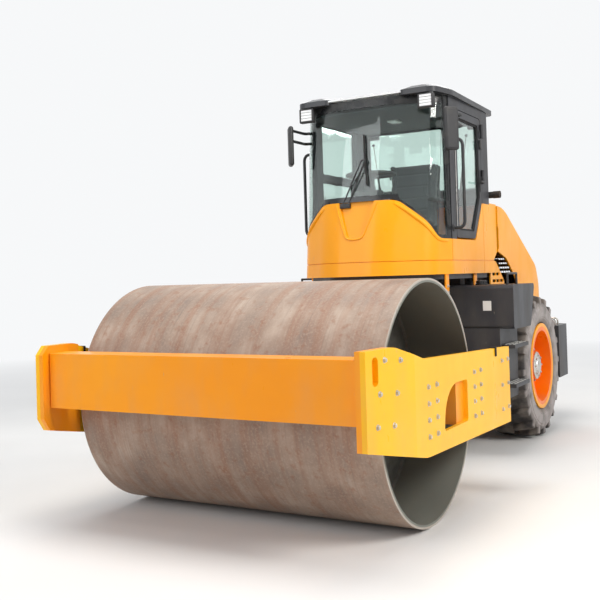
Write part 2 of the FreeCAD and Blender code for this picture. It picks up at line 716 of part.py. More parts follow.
def tube(name, points, radius):
    """A bent round tube through points, one straight rod a run with balls at its bends."""
    parts = []
    for i in range(len(points) - 1):
        a = [size(v) for v in points[i]]
        b = [size(v) for v in points[i + 1]]
        for axis, key in ((0, "x"), (1, "y"), (2, "z")):
            if a[axis].text != b[axis].text:
                low, high = (a, b) if a[axis].value < b[axis].value else (b, a)
                parts.append(rod(f"{name}_run{i}", key, low, radius, high[axis] - low[axis]))
        if i:
            ball = doc.addObject("Part::Sphere", f"{name}_bend{i}")
            ball.Radius = size(radius).value
            bind(ball, "Radius", radius)
            parts.append(place(ball, *a))
    return fuse(name, parts)


def node(label, obj):
    """Keep a piece for the hand-in under its own name."""
    obj.Label = label
    NODES.append(obj)
    return obj


def inset(points, gap):
    """An outline drawn in by a gap on every side, about its middle."""
    points = [tuple(size(v) for v in p) for p in points]
    middle = [(min(p[k].value for p in points) + max(p[k].value for p in points)) / 2 for k in (0, 1)]
    return [tuple(p[k] + gap if p[k].value < middle[k] else p[k] - gap for k in (0, 1)) + p[2:] for p in points]


def pair(middle, half):
    """The (low, high) pair of a length about its middle."""
    return (middle - half, middle + half)


# Places along X, and heights

front_overhang = s.drum_radius + s.front_gap + s.beam_depth + s.beam_setback
pin_distance = s.drum_radius + s.rear_gap + s.rear_beam_depth + s.pin_gap
X_DRUM = (pin_distance + s.pin_to_axle + s.rear_overhang - front_overhang) / 2
X_FRONT = X_DRUM + front_overhang
X_PIN = X_DRUM - pin_distance
X_AXLE = X_PIN - s.pin_to_axle
X_REAR = X_AXLE - s.rear_overhang
X_CAB = X_PIN - s.cab_setback
X_BACK = X_CAB - s.cab_length
X_COWL = X_BACK - s.cowl_length
X_BARREL = X_PIN - s.barrel_back
X_FRAME = X_BARREL - s.lug_reach

z_drum = s.drum_radius
z_osc = z_drum - s.osc_drop
z_axle = s.tyre_radius
fork_z = (z_osc - s.fork_drop, z_osc + s.fork_rise)
rail_top = fork_z[1] + s.rail_lift
rail_low = z_axle + s.pad_height
deck_bottom = rail_top + s.deck_rise
base_bottom = deck_bottom + s.deck_wall
base_top = base_bottom + s.base_height
sill_z = base_top - s.sill_drop
apron_z = base_top - s.apron_drop
seam_z = base_bottom + s.skirt_height
cab_top = base_bottom + s.cab_height
window_top = cab_top - s.head_rail

# Drum

head_face = s.drum_width / 2 - s.head_inset
drum_inner = s.drum_radius - s.drum_wall
node("drum_shell", turned("drum_shell", [
    (drum_inner, -s.drum_width / 2),
    (s.drum_radius, -s.drum_width / 2),
    (s.drum_radius, s.drum_width / 2),
    (drum_inner, s.drum_width / 2),
], X_DRUM, 0, z_drum))
node("drum_heads", both("drum_heads", turned("drum_head", [
    (0, head_face - s.head_wall),
    (drum_inner - s.seat_gap, head_face - s.head_wall),
    (drum_inner - s.seat_gap, head_face),
    (s.hub_radius, head_face),
    (s.hub_radius, head_face + s.hub_depth),
    (s.stub_radius, head_face + s.hub_depth),
    (s.stub_radius, head_face + s.stub_length),
    (0, head_face + s.stub_length),
], X_DRUM, 0, z_drum)))

# Front frame

plate_half = s.drum_width / 2 + s.plate_gap + s.plate_wall
plate_inner = plate_half - s.plate_wall
x_fold = X_FRONT - s.plate_fold
rear_beam_x = (X_DRUM - s.drum_radius - s.rear_gap - s.rear_beam_depth, X_DRUM - s.drum_radius - s.rear_gap)
x_plate_rear = rear_beam_x[0] - s.plate_tail
plate_top = z_drum + s.top_front_rise
toe = s.plate_toe / s.plate_fold


def plate_profile(name, cut_corners):
    """Side view of a side plate, as a bar across one side of the machine."""
    low_rear = z_drum - s.low_rear_drop
    low_front = z_drum - s.low_front_drop
    top_rear = z_drum + s.top_rear_rise
    front = [(X_FRONT, low_front), (X_FRONT, plate_top)]
    rear = [(x_plate_rear, top_rear)]
    if cut_corners:
        front = [
            (X_FRONT - s.plate_chamfer, low_front - s.low_mid_drop / 12),
            (X_FRONT, low_front + s.plate_chamfer),
            (X_FRONT, plate_top - s.plate_chamfer),
            (X_FRONT - s.plate_chamfer, plate_top),
        ]
        rear = [
            (x_plate_rear + s.plate_chamfer, top_rear),
            (x_plate_rear, top_rear - s.plate_chamfer),
        ]
    return prism(name, "y", [
        (x_plate_rear, low_rear),
        (X_FRONT - s.low_bend, z_drum - s.low_mid_drop, s.low_curve),
    ] + front + [
        (X_FRONT - s.top_flat, plate_top, s.top_curve),
        (X_FRONT - s.top_dip, z_drum + s.top_mid_rise, s.top_curve),
    ] + rear, head_face, plate_half + s.overcut)


def side_plate(name, window, slots, cut_corners):
    """A bent side plate with its window and its slots, on the machine's left."""
    plan = prism(name + "_plan", "z", [
        (x_plate_rear, plate_half),
        (x_plate_rear, plate_inner),
        (x_fold, plate_inner),
        (X_FRONT, plate_inner - s.plate_toe),
        (X_FRONT, plate_half - s.plate_toe),
        (x_fold, plate_half),
    ], 0, 2 * z_drum)
    plate = common(name + "_plate", plan, plate_profile(name + "_profile", cut_corners))
    reach = (plate_half - s.plate_toe - s.plate_gap, plate_half + s.overcut)
    openings = [prism(f"{name}_opening_{i}", "y", points, *reach) for i, points in enumerate([window] + slots)]
    return cut(name + "_cut", plate, openings)


window_low = z_drum - s.window_drop
window_high = z_drum + s.window_rise
lifting_slot = [
    (X_FRONT - s.slot_inset - s.slot_width, plate_top - s.slot_top - s.slot_tall, s.slot_round),
    (X_FRONT - s.slot_inset, plate_top - s.slot_top - s.slot_tall, s.slot_round),
    (X_FRONT - s.slot_inset, plate_top - s.slot_top, s.slot_round),
    (X_FRONT - s.slot_inset - s.slot_width, plate_top - s.slot_top, s.slot_round),
]
hose_slot_top = z_drum + s.top_rear_rise - s.slot_top
hose_slot = [
    (x_plate_rear + s.hose_slot_inset, hose_slot_top - s.hose_slot_height, s.window_corner),
    (x_plate_rear + s.hose_slot_inset + s.hose_slot_length, hose_slot_top - s.hose_slot_height, s.window_corner),
    (x_plate_rear + s.hose_slot_inset + s.hose_slot_length + s.window_lean, hose_slot_top, s.window_corner),
    (x_plate_rear + s.hose_slot_inset + s.window_lean, hose_slot_top, s.window_corner),
]
node("side_plate_left", side_plate("left", [
    (X_DRUM - s.window_rear, window_low, s.window_corner),
    (X_DRUM + s.window_front, window_low, s.window_corner),
    (X_DRUM + s.window_front - s.window_lean, window_high, s.window_arch),
    (X_DRUM - s.window_rear, window_high, s.window_corner),
], [lifting_slot], False))
node("side_plate_right", mirror("side_plate_right", side_plate("right", [
    (X_DRUM - s.window_rear, window_low, s.window_corner),
    (X_DRUM + s.window_front, window_low, s.window_corner),
    (X_DRUM + s.window_front, window_high, s.window_corner),
    (X_DRUM - s.window_rear, window_high, s.window_corner),
], [hose_slot], True)))

beam_face = X_FRONT - s.beam_setback
beam_top = plate_top - s.beam_drop
end_inner = plate_half - s.plate_toe - s.plate_wall - s.end_plate_wall
groove_half = end_inner + toe * (s.beam_setback + s.beam_weld)
beam_front_half = end_inner + toe * s.beam_setback + s.end_plate_wall / 2
beam = prism("beam", "z", [
    (beam_face - s.beam_depth, -beam_front_half - toe * s.beam_depth),
    (beam_face - s.beam_weld - s.end_plate_wall, -beam_front_half),
    (beam_face - s.beam_weld, -groove_half),
    (beam_face, s.beam_weld - groove_half),
    (beam_face, groove_half - s.beam_weld),
    (beam_face - s.beam_weld, groove_half),
    (beam_face - s.beam_weld - s.end_plate_wall, beam_front_half),
    (beam_face - s.beam_depth, beam_front_half + toe * s.beam_depth),
], beam_top - s.beam_height, beam_top)
ends = []
for side in (1, -1):
    plan = prism("end_plan", "z", [
        (X_FRONT - s.end_plate_length, side * (end_inner + toe * s.end_plate_length)),
        (X_FRONT, side * end_inner),
        (X_FRONT, side * (end_inner + s.end_plate_wall)),
        (X_FRONT - s.end_plate_length, side * (end_inner + s.end_plate_wall + toe * s.end_plate_length)),
    ], 0, 2 * z_drum)
    profile = plate_profile("end_profile", side < 0)
    if side < 0:
        profile = mirror("end_profile_right", profile)
    ends.append(common("end_plate", plan, profile))
node("front_beam", fuse("front_beam", [beam] + ends))

rear_beam_z = (z_osc - s.rear_beam_drop, z_osc + s.rear_beam_rise)
haunch = plate_inner - s.rear_beam_haunch
rear_beam = prism("rear_beam_bar", "x", [
    (-plate_inner, rear_beam_z[0] + s.rear_beam_taper),
    (-haunch, rear_beam_z[0], s.rear_beam_curve),
    (haunch, rear_beam_z[0], s.rear_beam_curve),
    (plate_inner, rear_beam_z[0] + s.rear_beam_taper),
    (plate_inner, rear_beam_z[1] - s.rear_beam_taper),
    (haunch, rear_beam_z[1], s.rear_beam_curve),
    (-haunch, rear_beam_z[1], s.rear_beam_curve),
    (-plate_inner, rear_beam_z[1] - s.rear_beam_taper),
], *rear_beam_x)
bearing = rod("osc_bore", "x", (rear_beam_x[0] - s.overcut, 0, z_osc),
              s.osc_radius + s.seat_gap, s.overcut + s.osc_length + 1)
node("rear_beam", cut("rear_beam", rear_beam, [bearing]))

motor_y = head_face + s.motor_inner
carrier_y = s.drum_width / 2 - s.carrier_inset
carrier_disc = rod("carrier_disc", "y", (X_DRUM, carrier_y - s.carrier_wall, z_drum), s.carrier_radius, s.carrier_wall)
arms = []
for side in (1, -1):
    near = X_DRUM + side * s.arm_inner
    far = near + side * s.arm_width
    span = (far, near) if side < 0 else (near, far)
    arms.append(block("carrier_arm", span, (carrier_y - s.carrier_wall, plate_inner), pair(z_drum, s.arm_half)))
carrier_bore = rod("carrier_bore", "y", (X_DRUM, carrier_y - s.carrier_wall - s.overcut, z_drum),
                   s.motor_radius + s.seat_gap, s.carrier_wall + 2 * s.overcut)
node("drum_mounts", both("drum_mounts", cut("carrier", fuse("carrier_whole", [carrier_disc] + arms), [carrier_bore])))
motor_bore = rod("motor_bore", "y", (X_DRUM, motor_y - 1, z_drum), s.stub_radius + s.seat_gap,
                 s.stub_length - s.motor_inner + 1 + s.seat_gap)
node("drum_motors", both("drum_motors", cut(
    "motor", rod("motor_body", "y", (X_DRUM, motor_y, z_drum), s.motor_radius, s.motor_length), [motor_bore])))

# One scraper blade stands before the drum and one behind it
blades = []
for side in (1, -1):
    face = X_DRUM + side * (s.drum_radius + s.scraper_gap)
    seat = (beam_face - s.beam_depth) if side > 0 else rear_beam_x[1]
    span = (face, seat) if side > 0 else (seat, face)
    blades.append(block("blade", span, (-s.scraper_half, s.scraper_half),
                        (z_drum + s.scraper_lift, z_drum + s.scraper_lift + s.scraper_wall)))
node("drum_scrapers", together("drum_scrapers", blades))

# Steering yoke


def ear_levels():
    """The (low, high) pairs of the ears under and over a cylinder's eye."""
    below = z_osc - s.eye_half - s.ear_gap
    above = z_osc + s.eye_half + s.ear_gap
    return [(below - s.ear_wall, below), (above, above + s.ear_wall)]


yoke_z = (fork_z[0] + s.fork_wall + s.seat_gap, fork_z[1] - s.fork_wall - s.seat_gap)
yoke_front = rear_beam_x[0] - s.seat_gap
x_rod = X_PIN + s.ear_reach
ears = [prism("ear", "z", [
    (x_rod - s.ear_radius, -s.ear_side - s.ear_radius, s.ear_radius - 1),
    (x_rod + s.ear_radius, -s.ear_side - s.ear_radius, s.ear_radius - 1),
    (x_rod + s.ear_radius, s.ear_side + s.ear_radius, s.ear_radius - 1),
    (x_rod - s.ear_radius, s.ear_side + s.ear_radius, s.ear_radius - 1),
], low, high) for low, high in ear_levels()]
node("steering_yoke", fuse("steering_yoke", [
    block("yoke_block", pair(X_PIN, s.yoke_back), (-s.yoke_half, s.yoke_half), yoke_z),
    rod("yoke_flange", "x", (X_PIN, 0, z_osc), s.yoke_half, yoke_front - X_PIN),
    rod("osc_shaft", "x", (X_PIN, 0, z_osc), s.osc_radius, yoke_front - X_PIN + s.osc_length),
    rod("steering_pin", "z", (X_PIN, 0, fork_z[0] - s.pin_proud), s.pin_radius,
        fork_z[1] - fork_z[0] + 2 * s.pin_proud),
] + ears))

# Chassis

fork = block("fork", (X_FRAME, X_PIN + s.fork_reach), (-s.fork_half, s.fork_half), fork_z)
fork_gap = block("fork_gap", (X_PIN - s.neck_gap, X_PIN + s.fork_reach + s.overcut),
                 (-s.fork_half - s.overcut, s.fork_half + s.overcut), (fork_z[0] + s.fork_wall, fork_z[1] - s.fork_wall))
fork_bore = rod("fork_bore", "z", (X_PIN, 0, fork_z[0] - s.overcut), s.pin_radius + s.seat_gap,
                fork_z[1] - fork_z[0] + 2 * s.overcut)
x_rail_end = X_REAR + s.rail_end
rail = prism("rail", "y", [
    (X_FRAME, fork_z[0]),
    (X_FRAME, fork_z[1]),
    (X_FRAME - s.rail_rise, rail_top),
    (x_rail_end, rail_top),
    (x_rail_end, rail_low),
    (X_AXLE + s.rail_step - s.rail_taper, rail_low),
    (X_AXLE + s.rail_step, fork_z[0]),
], s.rail_half - s.rail_wall, s.rail_half)
cross = block("cross", (X_FRAME - s.cross_wall, X_FRAME), (-s.rail_half, s.rail_half), fork_z)
rear_cross = block("rear_cross", (x_rail_end, x_rail_end + s.rear_cross_wall), (-s.rail_half, s.rail_half),
                   (rail_low, rail_top))
barrel_lugs = []
for side in (1, -1):
    for levels in ear_levels():
        barrel_lugs.append(block("barrel_lug", (X_FRAME - s.ear_gap, X_BARREL + s.lug_half),
                                 pair(side * s.ear_side, s.lug_half), levels))
    pin_half = s.eye_half + s.ear_gap + s.ear_wall
    barrel_lugs.append(rod("barrel_pin", "z", (X_BARREL, side * s.ear_side, z_osc - pin_half), s.eye_bore, 2 * pin_half))
main_frame = cut("main_frame", fuse("main_whole", [fork, rail, mirror("rail_right", rail), cross, rear_cross]),
                 [fork_gap, fork_bore])
node("chassis", fuse("chassis", [main_frame] + barrel_lugs))

deck_half = s.cab_half - s.deck_inset
x_deck = X_CAB + s.bow_low - s.filter_bar_height - s.deck_inset
posts = [
    block("front_post", pair(X_CAB, s.post_length / 2), (-s.fork_half, s.fork_half), (fork_z[1], deck_bottom)),
    block("rear_post", (X_BACK, X_BACK + s.post_length), (-s.rail_half, s.rail_half), (rail_top, deck_bottom)),
]
deck = prism("deck", "z", [
    (X_BACK, -deck_half),
    (X_CAB + s.console_gap, -deck_half, s.sill_corner),
    (x_deck, -s.bow_nose_half * deck_half, s.shoulder_curve),
    (x_deck, s.bow_nose_half * deck_half, s.shoulder_curve),
    (X_CAB + s.console_gap, deck_half, s.sill_corner),
    (X_BACK, deck_half),
], deck_bottom, base_bottom)
node("cab_deck", fuse("cab_deck", posts + [deck]))

# Steering cylinders, at rest along X

gland = X_BARREL + s.barrel_length
barrel_tube = rod("barrel_tube", "x", (X_BARREL, s.ear_side, z_osc), s.barrel_radius, s.barrel_length)
barrel_eye = rod("barrel_eye", "z", (X_BARREL, s.ear_side, z_osc - s.eye_half), s.eye_radius, 2 * s.eye_half)
trims = [block("barrel_trim", (X_BARREL - 2 * s.eye_radius, X_BARREL + s.ear_radius), pair(s.ear_side, 2 * s.eye_radius), z)
         for z in ((z_osc + s.eye_half, z_osc + s.eye_half + s.eye_radius),
                   (z_osc - s.eye_half - s.eye_radius, z_osc - s.eye_half))]
barrel_bore = rod("barrel_bore", "x", (gland - s.rod_bore_depth, s.ear_side, z_osc), s.rod_radius + s.seat_gap,
                  s.rod_bore_depth + 1)
pin_hole = rod("pin_hole", "z", (X_BARREL, s.ear_side, z_osc - s.eye_half - s.overcut), s.eye_bore + s.seat_gap,
               2 * (s.eye_half + s.overcut))
barrel_left = cut("barrel_left", fuse("barrel_whole", [barrel_tube, barrel_eye]), [barrel_bore, pin_hole] + trims)
node("steer_barrel_left", barrel_left)
node("steer_barrel_right", mirror("steer_barrel_right", barrel_left))
rod_left = fuse("rod_left", [
    rod("rod_bar", "x", (gland - s.rod_tail, s.ear_side, z_osc), s.rod_radius, x_rod - gland + s.rod_tail),
    rod("rod_eye", "z", (x_rod, s.ear_side, z_osc - s.eye_half), s.eye_radius, 2 * s.eye_half),
])
node("steer_rod_left", rod_left)
node("steer_rod_right", mirror("steer_rod_right", rod_left))

# Rear axle and wheels

track_half = s.rail_half + s.tyre_gap + s.tyre_width / 2
hub_face = track_half - s.wheel_hub_inner - s.hub_gap
pads = [block("axle_pad", pair(X_AXLE, s.pad_half), pair(side * (s.rail_half - s.rail_wall / 2), s.rail_wall / 2),
              (z_axle, rail_low)) for side in (1, -1)]
axle_arm = turned("axle_arm", [
    (0, 0),
    (s.diff_radius, 0),
    (s.diff_radius, s.diff_half - s.diff_curve, s.diff_curve),
    (s.axle_radius, s.diff_half),
    (s.axle_radius, hub_face - s.axle_flange_wall),
    (s.axle_flange_radius, hub_face - s.axle_flange_wall),
    (s.axle_flange_radius, hub_face),
    (s.spindle_radius, hub_face),
    (s.spindle_radius, hub_face + s.spindle_length),
    (0, hub_face + s.spindle_length),
], X_AXLE, 0, z_axle)
node("rear_axle", fuse("rear_axle", [axle_arm, mirror("axle_arm_right", axle_arm)] + pads))

bead = s.tyre_width / 2 - s.bead_inset
barrel_r = s.rim_radius - s.rim_depth
dish_rim = s.dish_inset - s.dish_lean
spindle_cap = s.spindle_length - s.wheel_hub_inner - s.hub_gap + s.spindle_end


def rim(name, out):
    """A dished wheel rim turned about the axle; out is 1 on the left and -1 on the right."""
    return turned(name, [
        (s.spindle_radius + s.seat_gap, -out * s.wheel_hub_inner),
        (s.wheel_hub_radius, -out * s.wheel_hub_inner),
        (s.wheel_hub_radius, out * s.dish_inset),
        (barrel_r - s.rim_wall, out * dish_rim),
        (barrel_r - s.rim_wall, -out * (bead + s.rim_flange)),
        (s.rim_radius, -out * (bead + s.rim_flange)),
        (s.rim_radius, -out * (bead + s.seat_gap)),
        (barrel_r, -out * (bead + s.seat_gap)),
        (barrel_r, out * (bead + s.seat_gap)),
        (s.rim_radius, out * (bead + s.seat_gap)),
        (s.rim_radius, out * (bead + s.rim_flange)),
        (barrel_r - s.rim_wall, out * (bead + s.rim_flange)),
        (barrel_r - s.rim_wall, out * (dish_rim + s.dish_wall)),
        (s.wheel_hub_radius + s.dish_ring, out * (s.dish_inset + s.dish_wall)),
        (s.wheel_hub_radius, out * (s.dish_inset + s.dish_wall)),
        (s.wheel_hub_radius, out * s.wheel_hub_outer),
        (0, out * s.wheel_hub_outer),
        (0, out * spindle_cap),
        (s.spindle_radius + s.seat_gap, out * spindle_cap),
    ], X_AXLE, out * track_half, z_axle)


def tyre(name, y):
    """A carcass with a ring of slanted lugs on each shoulder, half a pitch apart, turned down to the tyre's radius."""
    body = doc.addObject("PartDesign::Body", name)
    half = s.tyre_width / 2
    tread = s.tyre_radius - s.lug_height
    shoulder = s.tyre_radius - s.carcass_drop
    waist = (s.tyre_radius + s.rim_radius) / 2
    section = outline(body, "XY_Plane", [
        (barrel_r + s.seat_gap, -bead),
        (s.rim_radius + s.hub_gap, -bead),
        (s.rim_radius + s.carcass_round, -half + s.lug_middle),
        (waist, -half),
        (shoulder, -half + s.lug_middle),
        (tread, -half + s.carcass_round),
        (tread, half - s.carcass_round),
        (shoulder, half - s.lug_middle),
        (waist, half),
        (s.rim_radius + s.carcass_round, half - s.lug_middle),
        (s.rim_radius + s.hub_gap, bead),
        (barrel_r + s.seat_gap, bead),
    ])
    turn = body.newObject("PartDesign::Revolution", "turn")
    turn.Profile = section
    turn.ReferenceAxis = (section, ["V_Axis"])
    turn.Angle = 360
    lug_foot = s.tyre_radius - s.lug_height - s.lug_height
    for edge, lead in ((1, 0), (-1, s.lug_slant / 2)):
        points = [
            (-s.lug_width / 2 + lead, edge * (half - s.lug_middle)),
            (s.lug_width / 2 + lead, edge * (half - s.lug_middle)),
            (s.lug_width / 2 + lead, edge * (half - s.lug_shoulder)),
            (s.lug_width / 2 + s.lug_slant / 2 + lead, edge * s.lug_middle),
            (-s.lug_width / 2 + s.lug_slant / 2 + lead, edge * s.lug_middle),
            (-s.lug_width / 2 + lead, edge * (half - s.lug_shoulder)),
        ]
        sketch = outline(body, "XY_Plane", points[::edge], lug_foot, "lug")
        pad = body.newObject("PartDesign::Pad", "lug_pad")
        pad.Profile = sketch
        length = s.tyre_radius - s.lug_crown - lug_foot
        pad.Length = length.value
        bind(pad, "Length", length)
        ring = body.newObject("PartDesign::PolarPattern", "lug_ring")
        ring.Originals = [pad]
        ring.Axis = (section, ["V_Axis"])
        ring.Angle = 360
        ring.Occurrences = int(s.lug_count.value)
        bind(ring, "Occurrences", s.lug_count)
        body.Tip = ring
    low = y - half - s.overcut
    limit = rod("tyre_limit", "y", (X_AXLE, low, z_axle), s.tyre_radius - s.lug_crown, s.tyre_width + 2 * s.overcut)
    return common(name + "_turned_down", place(body, X_AXLE, y, z_axle), limit)


for side, word in ((1, "left"), (-1, "right")):
    node("rim_" + word, rim("rim_" + word, side))
    node("tyre_" + word, tyre("lugged_" + word, side * track_half))

# Cab base, glass and frame share one leaning, bowed outline


def cab_plan(gap, bow, rear):
    """Plan of the cab: straight sides and a bowed front, drawn in by a gap."""
    half = s.cab_half - gap
    reach = bow - gap
    return [
        (rear, -half),
        (X_CAB, -half, s.pillar_curve),
        (X_CAB + s.bow_shoulder * reach, -s.bow_shoulder_half * half, s.shoulder_curve),
        (X_CAB + reach, -s.bow_nose_half * half, s.nose_curve),
        (X_CAB + reach, s.bow_nose_half * half, s.nose_curve),
        (X_CAB + s.bow_shoulder * reach, s.bow_shoulder_half * half, s.shoulder_curve),
        (X_CAB, half, s.pillar_curve),
        (rear, half),
    ]


def cab_hull(name, gap, rear, low, high):
    """The cab's leaning outer form at an inset, from a rear plane."""
    lean = (s.bow_low - s.bow_high) / s.cab_height
    return lofted(name, [(z, cab_plan(gap, s.bow_low - lean * (z - base_bottom), rear)) for z in (low, high)])


def above_sill(name, lift):
    """Everything above the cab base's upper edge, as a bar across the machine."""
    x_front = X_CAB + s.bow_low + s.overcut
    x_rear = X_COWL - s.overcut
    notch_top = X_BACK + s.rear_pillar + s.notch_inset
    return prism(name, "y", [
        (x_rear, base_top + lift),
        (notch_top, base_top + lift, s.roof_corner),
        (notch_top + s.notch_run, sill_z + lift, s.sill_corner),
        (X_CAB + s.sill_front, sill_z + lift, s.sill_curve),
        (X_CAB + s.sill_front + s.sill_slope, apron_z + lift, s.sill_corner),
        (x_front, apron_z + lift),
        (x_front, cab_top + s.roof_wall + s.overcut),
        (x_rear, cab_top + s.roof_wall + s.overcut),
    ], -s.cab_half - s.overcut, s.cab_half + s.overcut)


x_notch_top = X_BACK + s.rear_pillar + s.notch_inset
x_notch_low = x_notch_top + s.notch_run
arch_front = base_top - s.arch_drop
hull_top = base_top + s.overcut
base_outer = cab_hull("base_outer", 0, X_COWL, base_bottom, hull_top)
base_inner = cab_hull("base_inner", s.base_wall, X_COWL + s.base_wall, base_bottom + s.base_wall, hull_top + s.overcut)
arch_clearance = prism("arch_clearance", "y", [
    (X_COWL - s.overcut, base_bottom - s.overcut),
    (X_COWL + s.panel_front, base_bottom - s.overcut),
    (X_COWL + s.panel_front, base_bottom + s.arch_notch, s.roof_corner),
    (X_COWL, arch_front),
    (X_COWL - s.overcut, arch_front),
], -s.cab_half - s.overcut, s.cab_half + s.overcut)
base_shell = cut("base_shell", base_outer, [base_inner, arch_clearance, above_sill("base_sill", 0)])

# Seams are grooves in the outer face; the panels meet behind them
wide = (-s.cab_half - s.overcut, s.cab_half + s.overcut)
seam_skin = cut("seam_skin", cab_hull("seam_outer", 0, X_COWL, base_bottom, hull_top), [
    cab_hull("seam_inner", s.seam_depth, X_COWL - s.overcut, base_bottom - s.overcut, hull_top + s.overcut)])
seam_grid = fuse("seam_grid", [
    block("seam_level", (X_COWL - s.overcut, X_CAB + s.bow_low + s.overcut), wide, pair(seam_z, s.seam_width / 2)),
    block("seam_pillar", pair(X_CAB, s.seam_width / 2), wide, (seam_z, base_top + s.overcut)),
    block("seam_side", pair(X_CAB - s.side_seam, s.seam_width / 2), wide, (base_bottom - s.overcut, hull_top)),
])
scoop_skin = cut("scoop_skin", cab_hull("scoop_outer", 0, X_COWL, base_bottom, hull_top), [
    cab_hull("scoop_inner", s.scoop_depth, X_COWL - s.overcut, base_bottom - s.overcut, hull_top + s.overcut)])
scoop = prism("scoop", "x", [
    (-s.scoop_half_low, apron_z - s.scoop_drop, s.scoop_corner),
    (s.scoop_half_low, apron_z - s.scoop_drop, s.scoop_corner),
    (s.scoop_half_top, apron_z + s.overcut),
    (-s.scoop_half_top, apron_z + s.overcut),
], X_CAB + s.bow_high / 2, X_CAB + s.bow_low + s.overcut)
base_panels = cut("base_panels", base_shell, [common("seams", seam_skin, seam_grid)])
below = block("below_seam", (X_COWL - s.overcut, X_CAB + s.bow_low + s.overcut), wide,
              (base_bottom - s.overcut, seam_z - s.seat_gap / 2))
ahead = block("ahead_of_pillar", (X_CAB + s.seat_gap / 2, X_CAB + s.bow_low + s.overcut), wide,
              (seam_z + s.seat_gap / 2, hull_top))
behind = block("behind_pillar", (X_COWL - s.overcut, X_CAB - s.seat_gap / 2), wide,
               (seam_z + s.seat_gap / 2, hull_top))
node("cab_skirt", common("cab_skirt", base_panels, below))
node("cab_apron", cut("cab_apron", common("apron_whole", base_panels, ahead), [common("scoop_cut", scoop_skin, scoop)]))
node("cab_base", common("cab_base", base_panels, behind))

glass_outer = cab_hull("glass_outer", s.glass_step, X_CAB - s.pillar_wall, sill_z - s.overcut, cab_top)
glass_inner = cab_hull("glass_inner", s.glass_step + s.glass_wall, X_CAB - s.pillar_wall - s.glass_inset,
                       sill_z - 2 * s.overcut, cab_top + s.overcut)
glass_behind = block("glass_behind", (X_CAB - 2 * s.pillar_wall, X_CAB), wide, (sill_z - 2 * s.overcut, cab_top + s.overcut))
glass_band = common("glass_band", glass_outer, above_sill("glass_sill", s.seat_gap))
node("windshield", cut("windshield", glass_band, [glass_inner, glass_behind]))

frame_hull = block("frame_hull", (X_BACK, X_CAB - s.seat_gap), (-s.cab_half, s.cab_half), (sill_z - s.overcut, cab_top))
frame_cavity = block("frame_cavity", (X_BACK + s.pillar_wall, X_CAB + s.overcut),
                     (-s.cab_half + s.pillar_wall, s.cab_half - s.pillar_wall),
                     (sill_z - 2 * s.overcut, cab_top - s.pillar_wall))
frame_above = common("frame_above", frame_hull, above_sill("frame_sill", 0))
door_x = (X_BACK + s.rear_pillar, X_CAB - s.door_pillar)
left_way = (s.cab_half - s.pillar_wall - s.overcut, s.cab_half + s.overcut)
right_way = (-s.cab_half - s.overcut, -s.cab_half + s.pillar_wall + s.overcut)
door_way = [
    (door_x[0], sill_z - s.overcut),
    (door_x[1], sill_z - s.overcut),
    (door_x[1], window_top, s.door_corner),
    (door_x[0], window_top, s.door_corner),
]
upper_way = [
    (door_x[0], window_top - s.upper_window, s.pane_corner),
    (door_x[1], window_top - s.upper_window, s.pane_corner),
    (door_x[1], window_top, s.pane_corner),
    (door_x[0], window_top, s.pane_corner),
]
belt = window_top - s.upper_window - s.rail_height
low_sill = sill_z + s.low_window_rise
x_low_rear = x_notch_top + s.deck_inset
lower_way = [
    (x_low_rear, base_top + s.low_window_rise, s.pane_corner),
    (x_low_rear + s.notch_run, low_sill, s.pane_corner),
    (door_x[1], low_sill, s.pane_corner),
    (door_x[1], belt, s.pane_corner),
    (x_low_rear, belt, s.pane_corner),
]
rear_half = s.cab_half - s.rear_window_inset
rear_way = [
    (-rear_half, base_top + s.rear_sill, s.pane_corner),
    (rear_half, base_top + s.rear_sill, s.pane_corner),
    (rear_half, window_top, s.pane_corner),
    (-rear_half, window_top, s.pane_corner),
]
frame_cut = cut("cab_frame_cut", frame_above, [
    frame_cavity,
    prism("door_way", "y", door_way, *left_way),
    prism("upper_way", "y", upper_way, *right_way),
    prism("lower_way", "y", lower_way, *right_way),
    prism("rear_way", "x", rear_way, X_BACK - s.overcut, X_BACK + s.pillar_wall + s.overcut),
])
pane_y = (-s.cab_half + s.glass_inset, -s.cab_half + s.glass_inset + s.glass_wall)
node("right_windows", together("right_windows", [
    prism("upper_pane", "y", inset(upper_way, s.seat_gap), *pane_y),
    prism("lower_pane", "y", inset(lower_way, s.seat_gap), *pane_y),
]))
node("rear_window", prism("rear_window", "x", inset(rear_way, s.seat_gap),
                          X_BACK + s.glass_inset, X_BACK + s.glass_inset + s.glass_wall))

# Roof with a lobe at each front corner and a clear visor between the lobes


def roof_plan(gap):
    """Plan of the roof, drawn in by a gap."""
    half = s.cab_half + s.roof_eave - gap
    rear = X_BACK - s.roof_tail + gap
    middle = X_CAB + s.roof_front - gap
    tip = middle + s.horn_reach
    return [
        (rear, -half + s.roof_rear_taper, s.sill_corner),
        (X_CAB, -half, s.roof_shoulder),
        (tip, -half + s.horn_taper, s.roof_round),
        (tip, -s.horn_half - gap, s.roof_corner),
        (middle, -s.horn_half - gap + s.horn_slope, s.roof_corner),
        (middle, s.horn_half + gap - s.horn_slope, s.roof_corner),
        (tip, s.horn_half + gap, s.roof_corner),
        (tip, half - s.horn_taper, s.roof_round),
        (X_CAB, half, s.roof_shoulder),
        (rear, half - s.roof_rear_taper, s.sill_corner),
    ]


